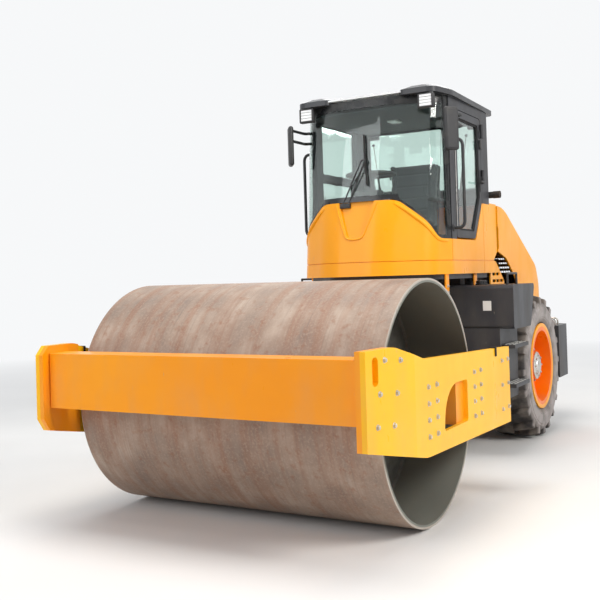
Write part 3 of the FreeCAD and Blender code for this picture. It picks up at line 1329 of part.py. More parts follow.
node("cab_roof", fuse("cab_roof", [
    prism("roof_slab", "z", roof_plan(0), cab_top, cab_top + s.roof_edge),
    lofted("roof_top", [(cab_top + s.roof_edge, roof_plan(0)), (cab_top + s.roof_wall, roof_plan(s.roof_crown))]),
]))
x_middle = X_CAB + s.roof_front
x_tip = x_middle + s.horn_reach
node("roof_visor", prism("roof_visor", "z", [
    (x_middle + s.seat_gap, -s.horn_half + s.horn_slope + s.seat_gap, s.roof_corner),
    (x_tip - s.visor_short, -s.horn_half + s.seat_gap + s.horn_slope * s.visor_short / s.horn_reach),
    (x_tip - s.visor_short, s.horn_half - s.seat_gap - s.horn_slope * s.visor_short / s.horn_reach),
    (x_middle + s.seat_gap, s.horn_half - s.horn_slope - s.seat_gap, s.roof_corner),
], cab_top + s.visor_lift, cab_top + s.visor_lift + s.visor_wall))

# Left door, hinged at its rear pillar

door_low = sill_z + s.door_lift
door_outer = [
    (door_x[0] + s.door_gap, base_top + s.door_lift, s.glass_inset),
    (x_notch_low + s.door_lift, door_low, s.roof_corner),
    (door_x[1] - s.door_gap, door_low, s.glass_inset),
    (door_x[1] - s.door_gap, window_top - s.door_gap, s.door_corner),
    (door_x[0] + s.door_gap, window_top - s.door_gap, s.door_corner),
]
door_hole = [
    (door_x[0] + s.door_gap + s.door_rail, base_top + s.door_lift + s.door_rail / 2, s.glass_inset),
    (x_notch_low + s.door_lift + s.door_rail / 2, door_low + s.door_rail, s.pane_corner),
    (door_x[1] - s.door_gap - s.door_rail, door_low + s.door_rail, s.glass_inset),
    (door_x[1] - s.door_gap - s.door_rail, window_top - s.door_gap - s.door_rail, s.pane_corner),
    (door_x[0] + s.door_gap + s.door_rail, window_top - s.door_gap - s.door_rail, s.pane_corner),
]
door_leaf = cut("door_leaf", prism("door_blank", "y", door_outer, s.cab_half - s.door_wall, s.cab_half),
                [prism("door_hole", "y", door_hole, s.cab_half - s.door_wall - s.overcut, s.cab_half + s.overcut)])
hinge_x = door_x[0] + s.door_gap / 2
hinge_y = s.cab_half + s.hinge_radius + 1
door_knuckles = []
frame_knuckles = []
for z in (base_top + s.hinge_low, cab_top - s.hinge_high):
    middle = z + s.hinge_length
    for group, low, high, span in (
            (door_knuckles, z, middle, (hinge_x, hinge_x + s.hinge_leaf)),
            (frame_knuckles, middle + s.seat_gap, middle + s.hinge_length, (hinge_x - s.hinge_leaf, hinge_x))):
        group.append(rod("knuckle", "z", (hinge_x, hinge_y, low), s.hinge_radius, high - low))
        group.append(block("hinge_leaf", span, (s.cab_half - 2, s.cab_half + s.door_gap), (low, high)))
node("door_frame", fuse("door_frame", [door_leaf] + door_knuckles))
node("cab_frame", fuse("cab_frame", [frame_cut] + frame_knuckles))
door_pane_y = s.cab_half - s.glass_inset - s.glass_wall / 2
node("door_glass", prism("door_glass", "y", inset(door_hole, s.seat_gap), door_pane_y, door_pane_y + s.glass_wall))

# Hood, tilting about its front top edge

hood_half = s.cab_half + s.hood_margin
hood_low = s.weight_clearance + s.weight_height + s.hood_lift
shoulder_z = base_top - s.hood_fall
x_hood = X_COWL - s.hood_gap
x_tail = X_REAR + s.hood_tail
tyre_top = z_axle + s.tyre_radius
hood_outer = prism("hood_outer", "y", [
    (x_hood, base_top),
    (x_hood, arch_front),
    (x_hood - s.arch_run, arch_front - s.arch_dip, s.arch_corner),
    (X_AXLE - s.arch_mid_run, tyre_top + s.arch_mid_gap, s.arch_curve),
    (X_AXLE - s.tyre_radius + s.arch_low_run, hood_low + s.arch_low_rise, s.arch_corner),
    (X_AXLE - s.tyre_radius - s.arch_foot, hood_low),
    (x_tail, hood_low),
    (x_tail, shoulder_z - s.hood_back, s.back_curve),
    (x_tail + s.hood_rake, shoulder_z, s.tail_curve),
    (x_hood - s.hood_brow, base_top - s.door_gap, s.crown_curve),
], -hood_half, hood_half)
hood_inner = prism("hood_inner", "y", [
    (x_hood + s.overcut, base_top - s.hood_wall),
    (x_hood + s.overcut, hood_low - s.overcut),
    (x_tail + s.hood_wall, hood_low - s.overcut),
    (x_tail + s.hood_wall, shoulder_z - s.hood_back - s.hood_wall / 3, s.back_curve - s.hood_wall),
    (x_tail + s.hood_rake + s.hood_wall / 2, shoulder_z - s.hood_wall, s.tail_curve - s.hood_wall),
    (x_hood - s.hood_brow - s.hood_wall / 5, base_top - s.door_gap - s.hood_wall, s.crown_curve - s.hood_wall),
], -hood_half + s.hood_wall, hood_half - s.hood_wall)
vents = []
for row in range(int(s.slot_rows.value)):
    for column in range(int(s.slot_columns.value)):
        middle = (column - (int(s.slot_columns.value) - 1) / 2) * s.slot_step
        low = shoulder_z - s.slot_drop + row * s.slot_pitch
        vents.append(block("vent", (x_tail - s.overcut, x_tail + s.slot_depth), pair(middle, s.slot_length / 2),
                           (low, low + s.slot_height)))
grip = block("grip", (x_tail - s.overcut, x_tail + s.grip_depth), (-s.grip_half, s.grip_half),
             (hood_low + s.grip_rise, hood_low + s.grip_rise + s.grip_height))
slits = [block("slit", (x_hood - s.slit_width, x_hood + s.overcut), span,
               (arch_front + s.slit_rise, arch_front + s.slit_rise + s.slit_height))
         for span in ((hood_half - s.hood_wall - s.overcut, hood_half + s.overcut),
                      (-hood_half - s.overcut, -hood_half + s.hood_wall + s.overcut))]
hood_axis = (X_COWL + x_hood) / 2
hood_axis_z = base_top + s.cowl_wall + s.hood_knuckle + 0.5
hood_knuckles = []
cowl_knuckles = []
for y in (s.hood_knuckle_side - s.hood_knuckle_length, -s.hood_knuckle_side - s.hood_knuckle_length):
    middle = y + s.hood_knuckle_length
    for group, low, high, span, floor in (
            (cowl_knuckles, y, middle, (hood_axis, hood_axis + s.hood_leaf), base_top + s.cowl_wall - 2),
            (hood_knuckles, middle + s.seat_gap, middle + s.hood_knuckle_length,
             (hood_axis - s.hood_leaf, hood_axis), base_top - s.hood_gap)):
        group.append(rod("hood_knuckle", "y", (hood_axis, low, hood_axis_z), s.hood_knuckle, high - low))
        group.append(block("hood_leaf", span, (low, high), (floor, hood_axis_z)))
node("hood_shell", fuse("hood_shell", [cut("hood_body", hood_outer, [hood_inner, grip] + slits + vents)] + hood_knuckles))
latch_z = (hood_low + s.latch_rise, hood_low + s.latch_rise + s.latch_height)
node("hood_latches", both("hood_latches", block(
    "latch", (x_tail - s.latch_wall, x_tail), pair(s.latch_side, s.latch_half), latch_z)))

x_engine = X_COWL - s.engine_setback
engine_half = s.rail_half - s.engine_inset
node("engine_block", block("engine_block", (x_engine - s.engine_length, x_engine), (-engine_half, engine_half),
                           (rail_top, rail_top + s.engine_height)))
radiator_half = s.rail_half + s.radiator_margin
x_radiator = X_REAR + s.radiator_back
node("radiator", block("radiator", (x_radiator, x_radiator + s.radiator_wall), (-radiator_half, radiator_half),
                       (rail_top, rail_top + s.radiator_height)))

panel_x = X_COWL + s.panel_front
panel_high = arch_front - s.panel_drop
panel_low = panel_high - s.panel_height
panel_y = (hood_half - s.panel_inset, hood_half - s.panel_inset + s.panel_wall)
panel = prism("panel", "y", [
    (panel_x, panel_low, s.glass_inset),
    (panel_x, panel_high),
    (panel_x - s.panel_shoulder, panel_high - s.panel_corner_drop, s.hose_slot_height),
    (panel_x - s.panel_length, panel_low + s.panel_tail_rise, s.sill_corner),
    (panel_x - s.panel_length, panel_low, s.sill_corner),
], *panel_y)
louvres = []
for row, count in enumerate((3, 3, 2)):
    for column in range(count):
        x = panel_x - s.louvre_inset - column * s.louvre_step
        low = panel_low + s.louvre_rise + row * s.louvre_pitch
        louvres.append(block("louvre", (x - s.louvre_length, x), (panel_y[0] - s.overcut, panel_y[1] + s.overcut),
                             (low, low + s.louvre_height)))
node("louvre_panels", both("louvre_panels", cut("panel_cut", panel, louvres)))

# Tanks, their rails and steps

tank_top = deck_bottom - s.tank_drop
shelf_z = tank_top - s.shelf_height
tank_low = shelf_z - s.tank_height
x_tank = X_PIN - s.tank_setback
x_tank_rear = X_AXLE + s.tyre_radius + s.tank_gap
tank_side = s.rail_half + s.tank_width
tank_edge = tank_side + s.shelf_margin
tank = fuse("tank", [
    prism("tank_body", "y", [
        (x_tank, tank_low, s.tank_corner),
        (x_tank, shelf_z + 5),
        (x_tank_rear - s.tank_lean, shelf_z + 5),
        (x_tank_rear, tank_low, s.tank_corner),
    ], s.rail_half, tank_side),
    prism("tank_shelf", "y", [
        (x_tank, shelf_z, s.tank_corner),
        (x_tank, tank_top, s.tank_corner),
        (x_tank_rear - s.shelf_flare, tank_top, s.tank_corner),
        (x_tank_rear - s.tank_lean, shelf_z, s.tank_corner),
    ], s.rail_half, tank_edge),
])
node("fuel_tank", tank)
node("hydraulic_tank", mirror("hydraulic_tank", tank))
rail_x = x_tank - s.step_inset - s.rail_tube
rail_y = tank_edge - s.rail_tube_inset
node("tank_rails", both("tank_rails", tube("tank_rail", [
    (rail_x, rail_y, tank_top),
    (rail_x, rail_y, tank_top + s.rail_tube_height),
    (rail_x - s.rail_tube_length, rail_y, tank_top + s.rail_tube_height),
    (rail_x - s.rail_tube_length, rail_y, tank_top),
], s.rail_tube)))
treads = [block("tread", (x_tank_rear + s.step_inset, x_tank - s.step_inset), (tank_side, tank_side + s.step_reach),
                (z, z + s.step_wall)) for z in (tank_low + s.step_rise, tank_low + s.step_rise + s.step_pitch)]
node("tank_steps", both("tank_steps", together("treads", treads)))

# Counterweight and tail lamps

weight_low = s.weight_clearance
weight_top = weight_low + s.weight_height
x_wing = X_AXLE - s.tyre_radius - s.weight_gap
wing_inner = s.rail_half + s.weight_margin
weight = prism("weight", "z", [
    (X_REAR, -s.weight_nose, s.weight_curve),
    (X_REAR, s.weight_nose, s.weight_curve),
    (X_REAR + s.weight_corner, s.weight_half, s.weight_curve),
    (x_wing, s.weight_half),
    (x_wing, wing_inner),
    (x_rail_end, wing_inner),
    (x_rail_end, -wing_inner),
    (x_wing, -wing_inner),
    (x_wing, -s.weight_half),
    (X_REAR + s.weight_corner, -s.weight_half, s.weight_curve),
], weight_low, weight_top)
weight_under = prism("weight_under", "y", [
    (X_REAR - s.overcut, weight_low - s.overcut),
    (X_REAR + s.weight_cut_run, weight_low - s.overcut),
    (X_REAR + s.weight_cut_run, weight_low),
    (X_REAR, weight_low + s.weight_cut_rise),
    (X_REAR - s.overcut, weight_low + s.weight_cut_rise),
], -s.weight_half - s.overcut, s.weight_half + s.overcut)
bay_floor = weight_top - s.bay_height
weight_bay = prism("weight_bay", "x", [
    (-s.bay_half_low, bay_floor, s.window_corner),
    (s.bay_half_low, bay_floor, s.window_corner),
    (s.bay_half_top, weight_top + s.overcut),
    (-s.bay_half_top, weight_top + s.overcut),
], X_REAR - s.overcut, X_REAR + s.bay_depth)
amber_z = (weight_top - s.amber_drop, weight_top - s.amber_drop + s.amber_height)
amber_y = (s.amber_inner, s.amber_inner + s.amber_length)
amber_bed = block("amber_bed", (X_REAR - s.overcut, X_REAR + s.lamp_bed), (amber_y[0] - 1, amber_y[1] + 1),
                  (amber_z[0] - 1, amber_z[1] + 1))
node("amber_lamps", both("amber_lamps", block("amber_lamp", (X_REAR + 2, X_REAR + s.lamp_bed), amber_y, amber_z)))

# The corner lamps are C-shaped bars let into the counterweight's slanted corners
corner_face = math.degrees(math.atan2(s.weight_corner.value, (s.weight_half - s.weight_nose).value))
lamp_top = weight_top - s.corner_lamp_drop


def corner_bar(name, grow, deep):
    """The C-shaped corner lamp, grown all round, standing on the slanted corner face."""
    long = s.corner_lamp_length
    tall = s.corner_lamp_height
    bar = s.corner_lamp_bar
    body = prism(name, "x", [
        (-grow, -tall - grow),
        (long + grow, -tall - grow),
        (long + grow, -tall + bar + grow),
        (bar + grow, -tall + bar + grow),
        (bar + grow, -bar - grow),
        (long + grow, -bar - grow),
        (long + grow, grow),
        (-grow, grow),
    ], -deep[0], deep[1])
    across = s.weight_half - s.weight_nose
    share = s.corner_lamp_setback / across
    turn = FreeCAD.Rotation(FreeCAD.Vector(0, 0, 1), -corner_face)
    return place(body, X_REAR + s.weight_corner * share, s.weight_nose + s.corner_lamp_setback, lamp_top, turn)


corner_bed = corner_bar("corner_bed", size(1), (s.overcut, s.corner_lamp_wall))
node("corner_lamps", both("corner_lamps", corner_bar("corner_lamp", size(0), (size(-2), s.corner_lamp_wall))))
node("counterweight", cut("counterweight", weight, [
    weight_under, weight_bay, amber_bed, mirror("amber_bed_right", amber_bed),
    corner_bed, mirror("corner_bed_right", corner_bed)]))
node("tail_reflector", block("tail_reflector", (X_REAR + s.bay_depth - s.reflector_wall, X_REAR + s.bay_depth),
                             (-s.reflector_half, s.reflector_half), (amber_z[0], amber_z[0] + s.reflector_height)))

# Exhaust and air cleaner, standing on the cowl cover

cowl_top = base_top + s.cowl_wall
muffler_z = base_top + s.muffler_lift + s.muffler_radius
x_muffler = (X_BACK + X_COWL) / 2 - s.lamp_rear_gap
below_cowl = block("below_cowl", (X_COWL - s.overcut, X_BACK + s.overcut), wide, (base_top - s.overcut, cowl_top))
cowl_plate = block("cowl_plate", (X_COWL, X_BACK), (-s.cab_half, s.cab_half), (base_top, cowl_top))
node("cowl_cover", fuse("cowl_cover", [cowl_plate] + cowl_knuckles))
muffler_foot_y = s.muffler_side + s.muffler_length / 2
muffler = fuse("muffler_whole", [
    rod("muffler_can", "y", (x_muffler, s.muffler_side, muffler_z), s.muffler_radius, s.muffler_length),
    rod("tail_pipe", "y", (x_muffler, muffler_foot_y, muffler_z), s.tail_pipe_radius,
        s.muffler_length / 2 + s.tail_pipe_length),
    block("muffler_foot", pair(x_muffler, s.foot_half), pair(muffler_foot_y, s.foot_width / 2), (base_top, muffler_z)),
])
node("muffler", cut("muffler", muffler, [below_cowl]))
cleaner_inner = -s.cleaner_side
neck_y = cleaner_inner - s.neck_inset
cleaner = fuse("cleaner_whole", [
    rod("cleaner_can", "y", (x_muffler, cleaner_inner - s.cleaner_length, muffler_z + s.cleaner_lift),
        s.cleaner_radius, s.cleaner_length),
    rod("cleaner_neck", "z", (x_muffler, neck_y, muffler_z), s.neck_radius, s.neck_height + s.cap_height / 2),
    rod("pre_cleaner", "z", (x_muffler, neck_y, muffler_z + s.neck_height), s.cap_radius, s.cap_height),
    block("cleaner_foot", pair(x_muffler, s.foot_half), pair(cleaner_inner - s.cleaner_length / 2, s.foot_width / 2),
          (base_top, muffler_z)),
])
node("air_cleaner", cut("air_cleaner", cleaner, [
    block("below_cleaner", (X_COWL - s.overcut, X_BACK + s.overcut), wide, (base_top - s.overcut, cowl_top))]))

# Seat and steering column

floor = base_bottom + s.base_wall
seat_x = X_BACK + s.seat_setback
seat_y = (-s.seat_half, s.seat_half)
cushion_z = floor + s.seat_base_height
seat_top = cushion_z + s.cushion_wall
seat_back_x = seat_x - s.seat_length / 2
seat_curve = s.cushion_wall / 3
node("seat", fuse("seat", [
    block("seat_base", pair(seat_x, s.seat_base_half), (-s.seat_base_half, s.seat_base_half), (floor, cushion_z + 5)),
    prism("seat_cushion", "y", [
        (seat_back_x, cushion_z, seat_curve),
        (seat_back_x + s.seat_length, cushion_z, seat_curve),
        (seat_back_x + s.seat_length, seat_top, seat_curve),
        (seat_back_x, seat_top, seat_curve),
    ], *seat_y),
    prism("backrest", "y", [
        (seat_back_x + 5, seat_top - seat_curve),
        (seat_back_x + 5 + s.backrest_wall, seat_top - seat_curve),
        (seat_back_x + 5 + s.backrest_wall - s.backrest_lean, seat_top + s.backrest_height, seat_curve),
        (seat_back_x + 5 - s.backrest_lean, seat_top + s.backrest_height, seat_curve),
    ], *seat_y),
]))
x_console = X_CAB + s.console_gap
console_top = floor + s.console_height
x_column = x_console + s.column_radius
wheel_z = console_top + s.column_height
steering_rim = doc.addObject("Part::Torus", "steering_rim")
for prop, value in (("Radius1", s.steering_wheel_radius), ("Radius2", s.steering_rim_radius)):
    setattr(steering_rim, prop, value.value)
    bind(steering_rim, prop, value)
place(steering_rim, x_column, 0, wheel_z)
node("steering_console", fuse("steering_console", [
    prism("console_box", "y", [
        (x_console, floor),
        (x_console + s.console_length, floor),
        (x_console + s.console_length, console_top - s.console_gap, s.sill_corner),
        (x_console + s.console_length / 2, console_top, s.sill_corner),
        (x_console, console_top),
    ], -s.console_half, s.console_half),
    rod("column", "z", (x_column, 0, console_top - s.overcut), s.column_radius, s.column_height + s.overcut),
    rod("spoke_across", "y", (x_column, -s.steering_wheel_radius, wheel_z), s.spoke_radius, 2 * s.steering_wheel_radius),
    rod("spoke_back", "x", (x_column - s.steering_wheel_radius, 0, wheel_z), s.spoke_radius, s.steering_wheel_radius),
    steering_rim,
]))

# Grab handles, mirrors, work lamps and filters

handle_x = X_CAB - s.handle_setback
handle_y = s.cab_half + s.handle_reach
handle_z = sill_z + s.handle_low
node("grab_handles", both("grab_handles", tube("handle", [
    (handle_x, s.cab_half, handle_z),
    (handle_x, handle_y, handle_z),
    (handle_x, handle_y, handle_z + s.handle_height),
    (handle_x, s.cab_half, handle_z + s.handle_height),
], s.tube_radius)))
mirror_x = X_CAB + s.mirror_front
mirror_y = s.cab_half + s.mirror_reach
mirror_z = cab_top - s.mirror_drop
mirror_top = mirror_z + s.mirror_hang
outward = FreeCAD.Rotation(FreeCAD.Vector(0, 0, 1), s.mirror_turn.value)
mirror_bars = [tube("mirror_bar", [
    (X_CAB - s.mirror_setback, s.cab_half, z),
    (X_CAB - s.mirror_setback, mirror_y, z),
    (mirror_x, mirror_y, z),
], s.tube_radius) for z in (mirror_z, mirror_z - s.mirror_bar_gap)]
mirror_head = place(prism("mirror_head", "x", [
    (-s.mirror_width / 2, mirror_top - s.mirror_height, s.pane_corner),
    (s.mirror_width / 2, mirror_top - s.mirror_height, s.pane_corner),
    (s.mirror_width / 2, mirror_top, s.pane_corner),
    (-s.mirror_width / 2, mirror_top, s.pane_corner),
], -s.mirror_wall / 2, s.mirror_wall / 2), mirror_x, mirror_y, 0, outward)
node("mirrors", both("mirrors", fuse("mirror_whole", mirror_bars + [mirror_head])))
lamp_z = (cab_top - s.lamp_height, cab_top)
x_lamp = x_tip - s.lamp_inset
x_rear_lamp = X_BACK - s.lamp_rear_gap
lamp_y = s.cab_half - s.lamp_side
rear_lamp_y = s.cab_half - s.lamp_rear_side
node("work_lamps", both("work_lamps", together("lamp_pair", [
    block("front_lamp", (x_lamp - s.lamp_depth, x_lamp), (lamp_y, lamp_y + s.lamp_width), lamp_z),
    block("rear_lamp", (x_rear_lamp - s.lamp_depth, x_rear_lamp), (rear_lamp_y, rear_lamp_y + s.lamp_width), lamp_z),
])))
x_filter = X_CAB + s.filter_front
bar_z = (deck_bottom - s.tank_drop - s.filter_bar_wall, deck_bottom - s.tank_drop - s.filter_bar_wall + s.filter_bar_height)
filters = [block("filter_bar", (x_filter, x_filter + s.filter_bar_wall), (-s.filter_bar_half, s.filter_bar_half), bar_z)]
for y in (s.filter_left, -s.filter_right):
    filters.append(rod("filter", "z", (x_filter + s.filter_bar_wall + s.filter_radius - 2, y, bar_z[1] - s.filter_height),
                       s.filter_radius, s.filter_height))
node("hydraulic_filters", fuse("hydraulic_filters", filters))

# Checks before the hand-in

doc.recompute()
os.makedirs("parts", exist_ok=True)
for obj in doc.Objects:
    bad = [state for state in obj.State if state in ("Invalid", "Error")]
    if bad:
        raise RuntimeError(f"{obj.Name} ({obj.Label}): {bad}")
for obj in NODES:
    shape = obj.Shape
    if shape.isNull() or not shape.isValid():
        raise RuntimeError(f"{obj.Label}: shape is null or not valid")
    shape.exportStep(os.path.join("parts", obj.Label + ".step"))
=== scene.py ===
import json
import logging
import math
from collections.abc import Iterator, Sequence
from contextlib import contextmanager
from dataclasses import dataclass
from enum import Enum

import bpy
from mathutils import Matrix, Vector


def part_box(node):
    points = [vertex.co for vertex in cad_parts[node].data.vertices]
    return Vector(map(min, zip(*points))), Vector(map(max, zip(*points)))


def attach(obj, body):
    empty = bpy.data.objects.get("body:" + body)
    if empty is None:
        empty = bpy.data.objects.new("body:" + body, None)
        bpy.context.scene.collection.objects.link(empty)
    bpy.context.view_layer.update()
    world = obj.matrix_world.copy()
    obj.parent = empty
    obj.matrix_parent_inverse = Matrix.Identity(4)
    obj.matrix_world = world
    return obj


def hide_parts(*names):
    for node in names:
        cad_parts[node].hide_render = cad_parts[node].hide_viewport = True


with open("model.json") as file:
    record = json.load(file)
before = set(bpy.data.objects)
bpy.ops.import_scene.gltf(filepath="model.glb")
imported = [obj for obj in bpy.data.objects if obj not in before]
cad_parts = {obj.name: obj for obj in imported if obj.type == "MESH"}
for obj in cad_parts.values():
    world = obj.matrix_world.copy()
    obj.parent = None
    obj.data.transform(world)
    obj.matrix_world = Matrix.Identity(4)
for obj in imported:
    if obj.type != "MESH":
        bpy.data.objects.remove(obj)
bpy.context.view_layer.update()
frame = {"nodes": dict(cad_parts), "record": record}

LOG = logging.getLogger("road_roller")
UP = Vector((0.0, 0.0, 1.0))
LEFT = Vector((0.0, 1.0, 0.0))
FRONT = Vector((1.0, 0.0, 0.0))

Piece = bpy.types.Object
Socket = bpy.types.NodeSocket
Colour = tuple[float, float, float, float]
ROOM_WHITE: Colour = (0.93, 0.94, 0.95, 1.0)
MERGE_DISTANCE = 0.00002
SENSOR_WIDTH = 36.0


class Side(Enum):
    """The two sides of the machine, seen from the seat."""

    LEFT = 1
    RIGHT = -1

    @property
    def word(self) -> str:
        """The side's name as the CAD nodes spell it."""
        return self.name.lower()

    def at(self, x: float, y: float, z: float) -> Vector:
        """A point given for the left side, carried over to this one."""
        return Vector((x, self.value * y, z))


def mm(*values: float) -> tuple[tuple[float, float], ...]:
    """Turns millimetres into pairs of metres: a section's radii and places along, or a plan's corners.

    Args:
        *values: The first and the second number of each pair, one after the other.

    Returns:
        The pairs, in metres.
    """
    return tuple((first / 1000, second / 1000) for first, second in zip(values[::2], values[1::2]))


def paint(red: int, green: int, blue: int) -> Colour:
    """Turns a screen colour of 0 to 255 into the linear colour that shaders take.

    Args:
        red: Red, 0 to 255.
        green: Green, 0 to 255.
        blue: Blue, 0 to 255.

    Returns:
        The linear colour, with full alpha.
    """
    parts = [value / 255 for value in (red, green, blue)]
    toned = [p / 12.92 if p <= 0.04045 else ((p + 0.055) / 1.055) ** 2.4 for p in parts]
    return (toned[0], toned[1], toned[2], 1.0)


# Finishes

class Recipe:
    """A material whose nodes are put together one by one."""

    def __init__(self, name: str) -> None:
        """Starts a material with its shader and the piece's own coordinates."""
        self.material = bpy.data.materials.new(name)
        self.material.use_nodes = True
        self.tree = self.material.node_tree
        self.shader = self.tree.nodes["Principled BSDF"]
        self.place = self.put("ShaderNodeTexCoord", {}).outputs["Object"]

    def put(self, kind: str, sockets: dict, **settings: object) -> bpy.types.Node:
        """Adds a node.

        Args:
            kind: The node's type.
            sockets: Input name or number to a value or another node's socket.
            **settings: Properties of the node itself.

        Returns:
            The new node.
        """
        node = self.tree.nodes.new(kind)
        for key, value in settings.items():
            setattr(node, key, value)
        for key, value in sockets.items():
            self.feed(node, key, value)
        return node

    def feed(self, node: bpy.types.Node, key: str | int, value: object) -> None:
        """Gives an input a plain value, or links a socket to it."""
        if isinstance(value, bpy.types.NodeSocket):
            self.tree.links.new(value, node.inputs[key])
        else:
            node.inputs[key].default_value = value

    def noise(self, scale: float, detail: float = 4.0, stretch: Sequence[float] = (1, 1, 1)) -> Socket:
        """A grey noise over the piece, drawn out along the axes whose stretch is under one."""
        vector = self.put("ShaderNodeMapping", {"Vector": self.place, "Scale": stretch}).outputs[0]
        return self.put("ShaderNodeTexNoise", {"Vector": vector, "Scale": scale,
                                               "Detail": detail}).outputs["Fac"]

    def sums(self, operation: str, a: Socket | float, b: Socket | float = 0.0) -> Socket:
        """The result of a sum on two numbers."""
        return self.put("ShaderNodeMath", {0: a, 1: b}, operation=operation).outputs[0]

    def spread(self, value: Socket, low: float, high: float, to_low: float = 0.0,
               to_high: float = 1.0) -> Socket:
        """Carries a range of numbers over to another, clamped at both ends."""
        sockets = {"Value": value, "From Min": low, "From Max": high, "To Min": to_low, "To Max": to_high}
        return self.put("ShaderNodeMapRange", sockets).outputs["Result"]

    def blend(self, share: Socket, first: Colour | Socket, second: Colour | Socket) -> Socket:
        """A colour between two, by a share."""
        return self.put("ShaderNodeMix", {0: share, 6: first, 7: second}, data_type="RGBA").outputs[2]

    def ramp(self, value: Socket, stops: Sequence[tuple[float, Colour]]) -> Socket:
        """A colour from a scale of (place, colour) stops."""
        node = self.put("ShaderNodeValToRGB", {0: value})
        elements = node.color_ramp.elements
        for element, (place, colour) in zip((elements[0], elements[1]), (stops[0], stops[-1])):
            element.position = place
            element.color = colour
        for place, colour in stops[1:-1]:
            elements.new(place).color = colour
        return node.outputs[0]

    def split(self) -> bpy.types.bpy_prop_collection:
        """The X, Y and Z of the place on the piece."""
        return self.put("ShaderNodeSeparateXYZ", {"Vector": self.place}).outputs

    def bump(self, height: Socket, depth: float, strength: float = 0.6) -> None:
        """Lets a height stand out of the surface by a depth in metres."""
        sockets = {"Height": height, "Distance": depth, "Strength": strength}
        self.feed(self.shader, "Normal", self.put("ShaderNodeBump", sockets).outputs["Normal"])

    def set(self, **values: object) -> None:
        """Gives the shader's inputs their values; an underscore stands for a space."""
        for key, value in values.items():
            self.feed(self.shader, key.replace("_", " "), value)


@dataclass(frozen=True)
class Finish:
    """What a surface is made of, as its slot in the record names it."""

    name: str
    slot: str
    colour: Colour

    def material(self) -> bpy.types.Material:
        """The finish's material, made once and then used again."""
        known = bpy.data.materials.get(self.name)
        if known:
            return known
        recipe = Recipe(self.name)
        recipe.material.diffuse_color = self.colour
        self.mix(recipe)
        return recipe.material

    def mix(self, recipe: Recipe) -> None:
        """Builds the finish's nodes."""
        recipe.set(Base_Color=self.colour)


@dataclass(frozen=True)
class Paint(Finish):
    """Sprayed paint: slight clouding, orange peel, a film of dust and small scuffs."""

    deep: Colour = (0.0, 0.0, 0.0, 1.0)
    dust: Colour = (0.40, 0.33, 0.25, 1.0)
    dustiness: float = 0.10
    roughness: float = 0.32
    coat: float = 0.12
    shine: float = 0.25

    def mix(self, recipe: Recipe) -> None:
        """Builds the paint's nodes."""
        recipe.set(Specular_IOR_Level=self.shine)
        cloud = recipe.spread(recipe.noise(1.3, 3.0), 0.3, 0.7)
        body = recipe.blend(cloud, self.colour, self.deep)
        drift = recipe.noise(5.5, 6.0, (1.0, 1.0, 0.45))
        height = recipe.spread(recipe.split()[2], 0.2, 1.6, 1.0, 0.25)
        film = recipe.sums("MULTIPLY", recipe.spread(drift, 0.42, 0.72, 0.0, self.dustiness * 2.0), height)
        dusty = recipe.blend(film, body, self.dust)
        scuff = recipe.spread(recipe.noise(38.0, 5.0, (1.0, 1.0, 0.3)), 0.70, 0.76, 0.0, 0.30)
        recipe.set(Base_Color=recipe.blend(scuff, dusty, self.dust))
        gloss = recipe.spread(drift, 0.3, 0.8, self.roughness - 0.05, self.roughness + 0.22)
        recipe.set(Roughness=gloss, Coat_Weight=self.coat, Coat_Roughness=0.12)
        recipe.bump(recipe.noise(320.0, 2.0), 0.0004, 0.25)


@dataclass(frozen=True)
class RolledSteel(Finish):
    """The drum's bare rolled plate: brown mill scale, rust runs round it, a painted highlight on its rims and a
    dark inside.
    """

    pale: Colour = paint(186, 168, 152)
    scale: Colour = paint(126, 110, 99)
    rust: Colour = paint(143, 98, 72)
    # pale colour of the painted highlight along the shell's edges
    edge_highlight: Colour = paint(178, 170, 160)
    inside: Colour = paint(118, 120, 112)
    axis_x: float = 1.65
    axis_z: float = 0.75
    half_width: float = 1.065
    inner_radius: float = 0.7375

    def mix(self, recipe: Recipe) -> None:
        """Builds the steel's nodes."""
        x, y, z = recipe.split()
        patches = recipe.noise(4.0, 10.0, (1.0, 1.2, 1.0))
        stops = ((0.22, self.scale), (0.50, self.colour), (0.80, self.pale))
        base = recipe.ramp(patches, stops)
        runs = recipe.noise(11.0, 8.0, (0.07, 1.5, 0.07))
        rusty = recipe.blend(recipe.spread(runs, 0.45, 0.68, 0.0, 0.50), base, self.rust)
        scars = recipe.noise(34.0, 6.0, (0.05, 2.2, 0.05))
        scarred = recipe.blend(recipe.spread(scars, 0.52, 0.72, 0.0, 0.42), rusty, self.scale)
        spots = recipe.noise(21.0, 9.0)
        spotted = recipe.blend(recipe.spread(spots, 0.56, 0.70, 0.0, 0.50), scarred, self.rust)
        grain = recipe.noise(70.0, 7.0)
        grained = recipe.blend(recipe.spread(grain, 0.50, 0.74, 0.0, 0.38), spotted, self.pale)
        across = recipe.sums("POWER", recipe.sums("SUBTRACT", x, self.axis_x), 2.0)
        upward = recipe.sums("POWER", recipe.sums("SUBTRACT", z, self.axis_z), 2.0)
        radius = recipe.sums("SQRT", recipe.sums("ADD", across, upward))
        reach = recipe.sums("ABSOLUTE", y)
        # painted highlight: the shell's outermost edge band is painted pale for the light that it catches
        rim = recipe.spread(reach, self.half_width - 0.006, self.half_width - 0.001)
        skin = recipe.blend(rim, grained, self.edge_highlight)
        hollow = recipe.spread(radius, self.inner_radius - 0.002, self.inner_radius + 0.002, 1.0, 0.0)
        recipe.set(Base_Color=recipe.blend(hollow, skin, self.inside), Metallic=0.15)
        recipe.set(Roughness=recipe.spread(patches, 0.3, 0.7, 0.50, 0.72))
        relief = recipe.sums("ADD", recipe.sums("MULTIPLY", grain, 0.5), recipe.sums("MULTIPLY", scars, 0.6))
        recipe.bump(relief, 0.0015, 0.4)


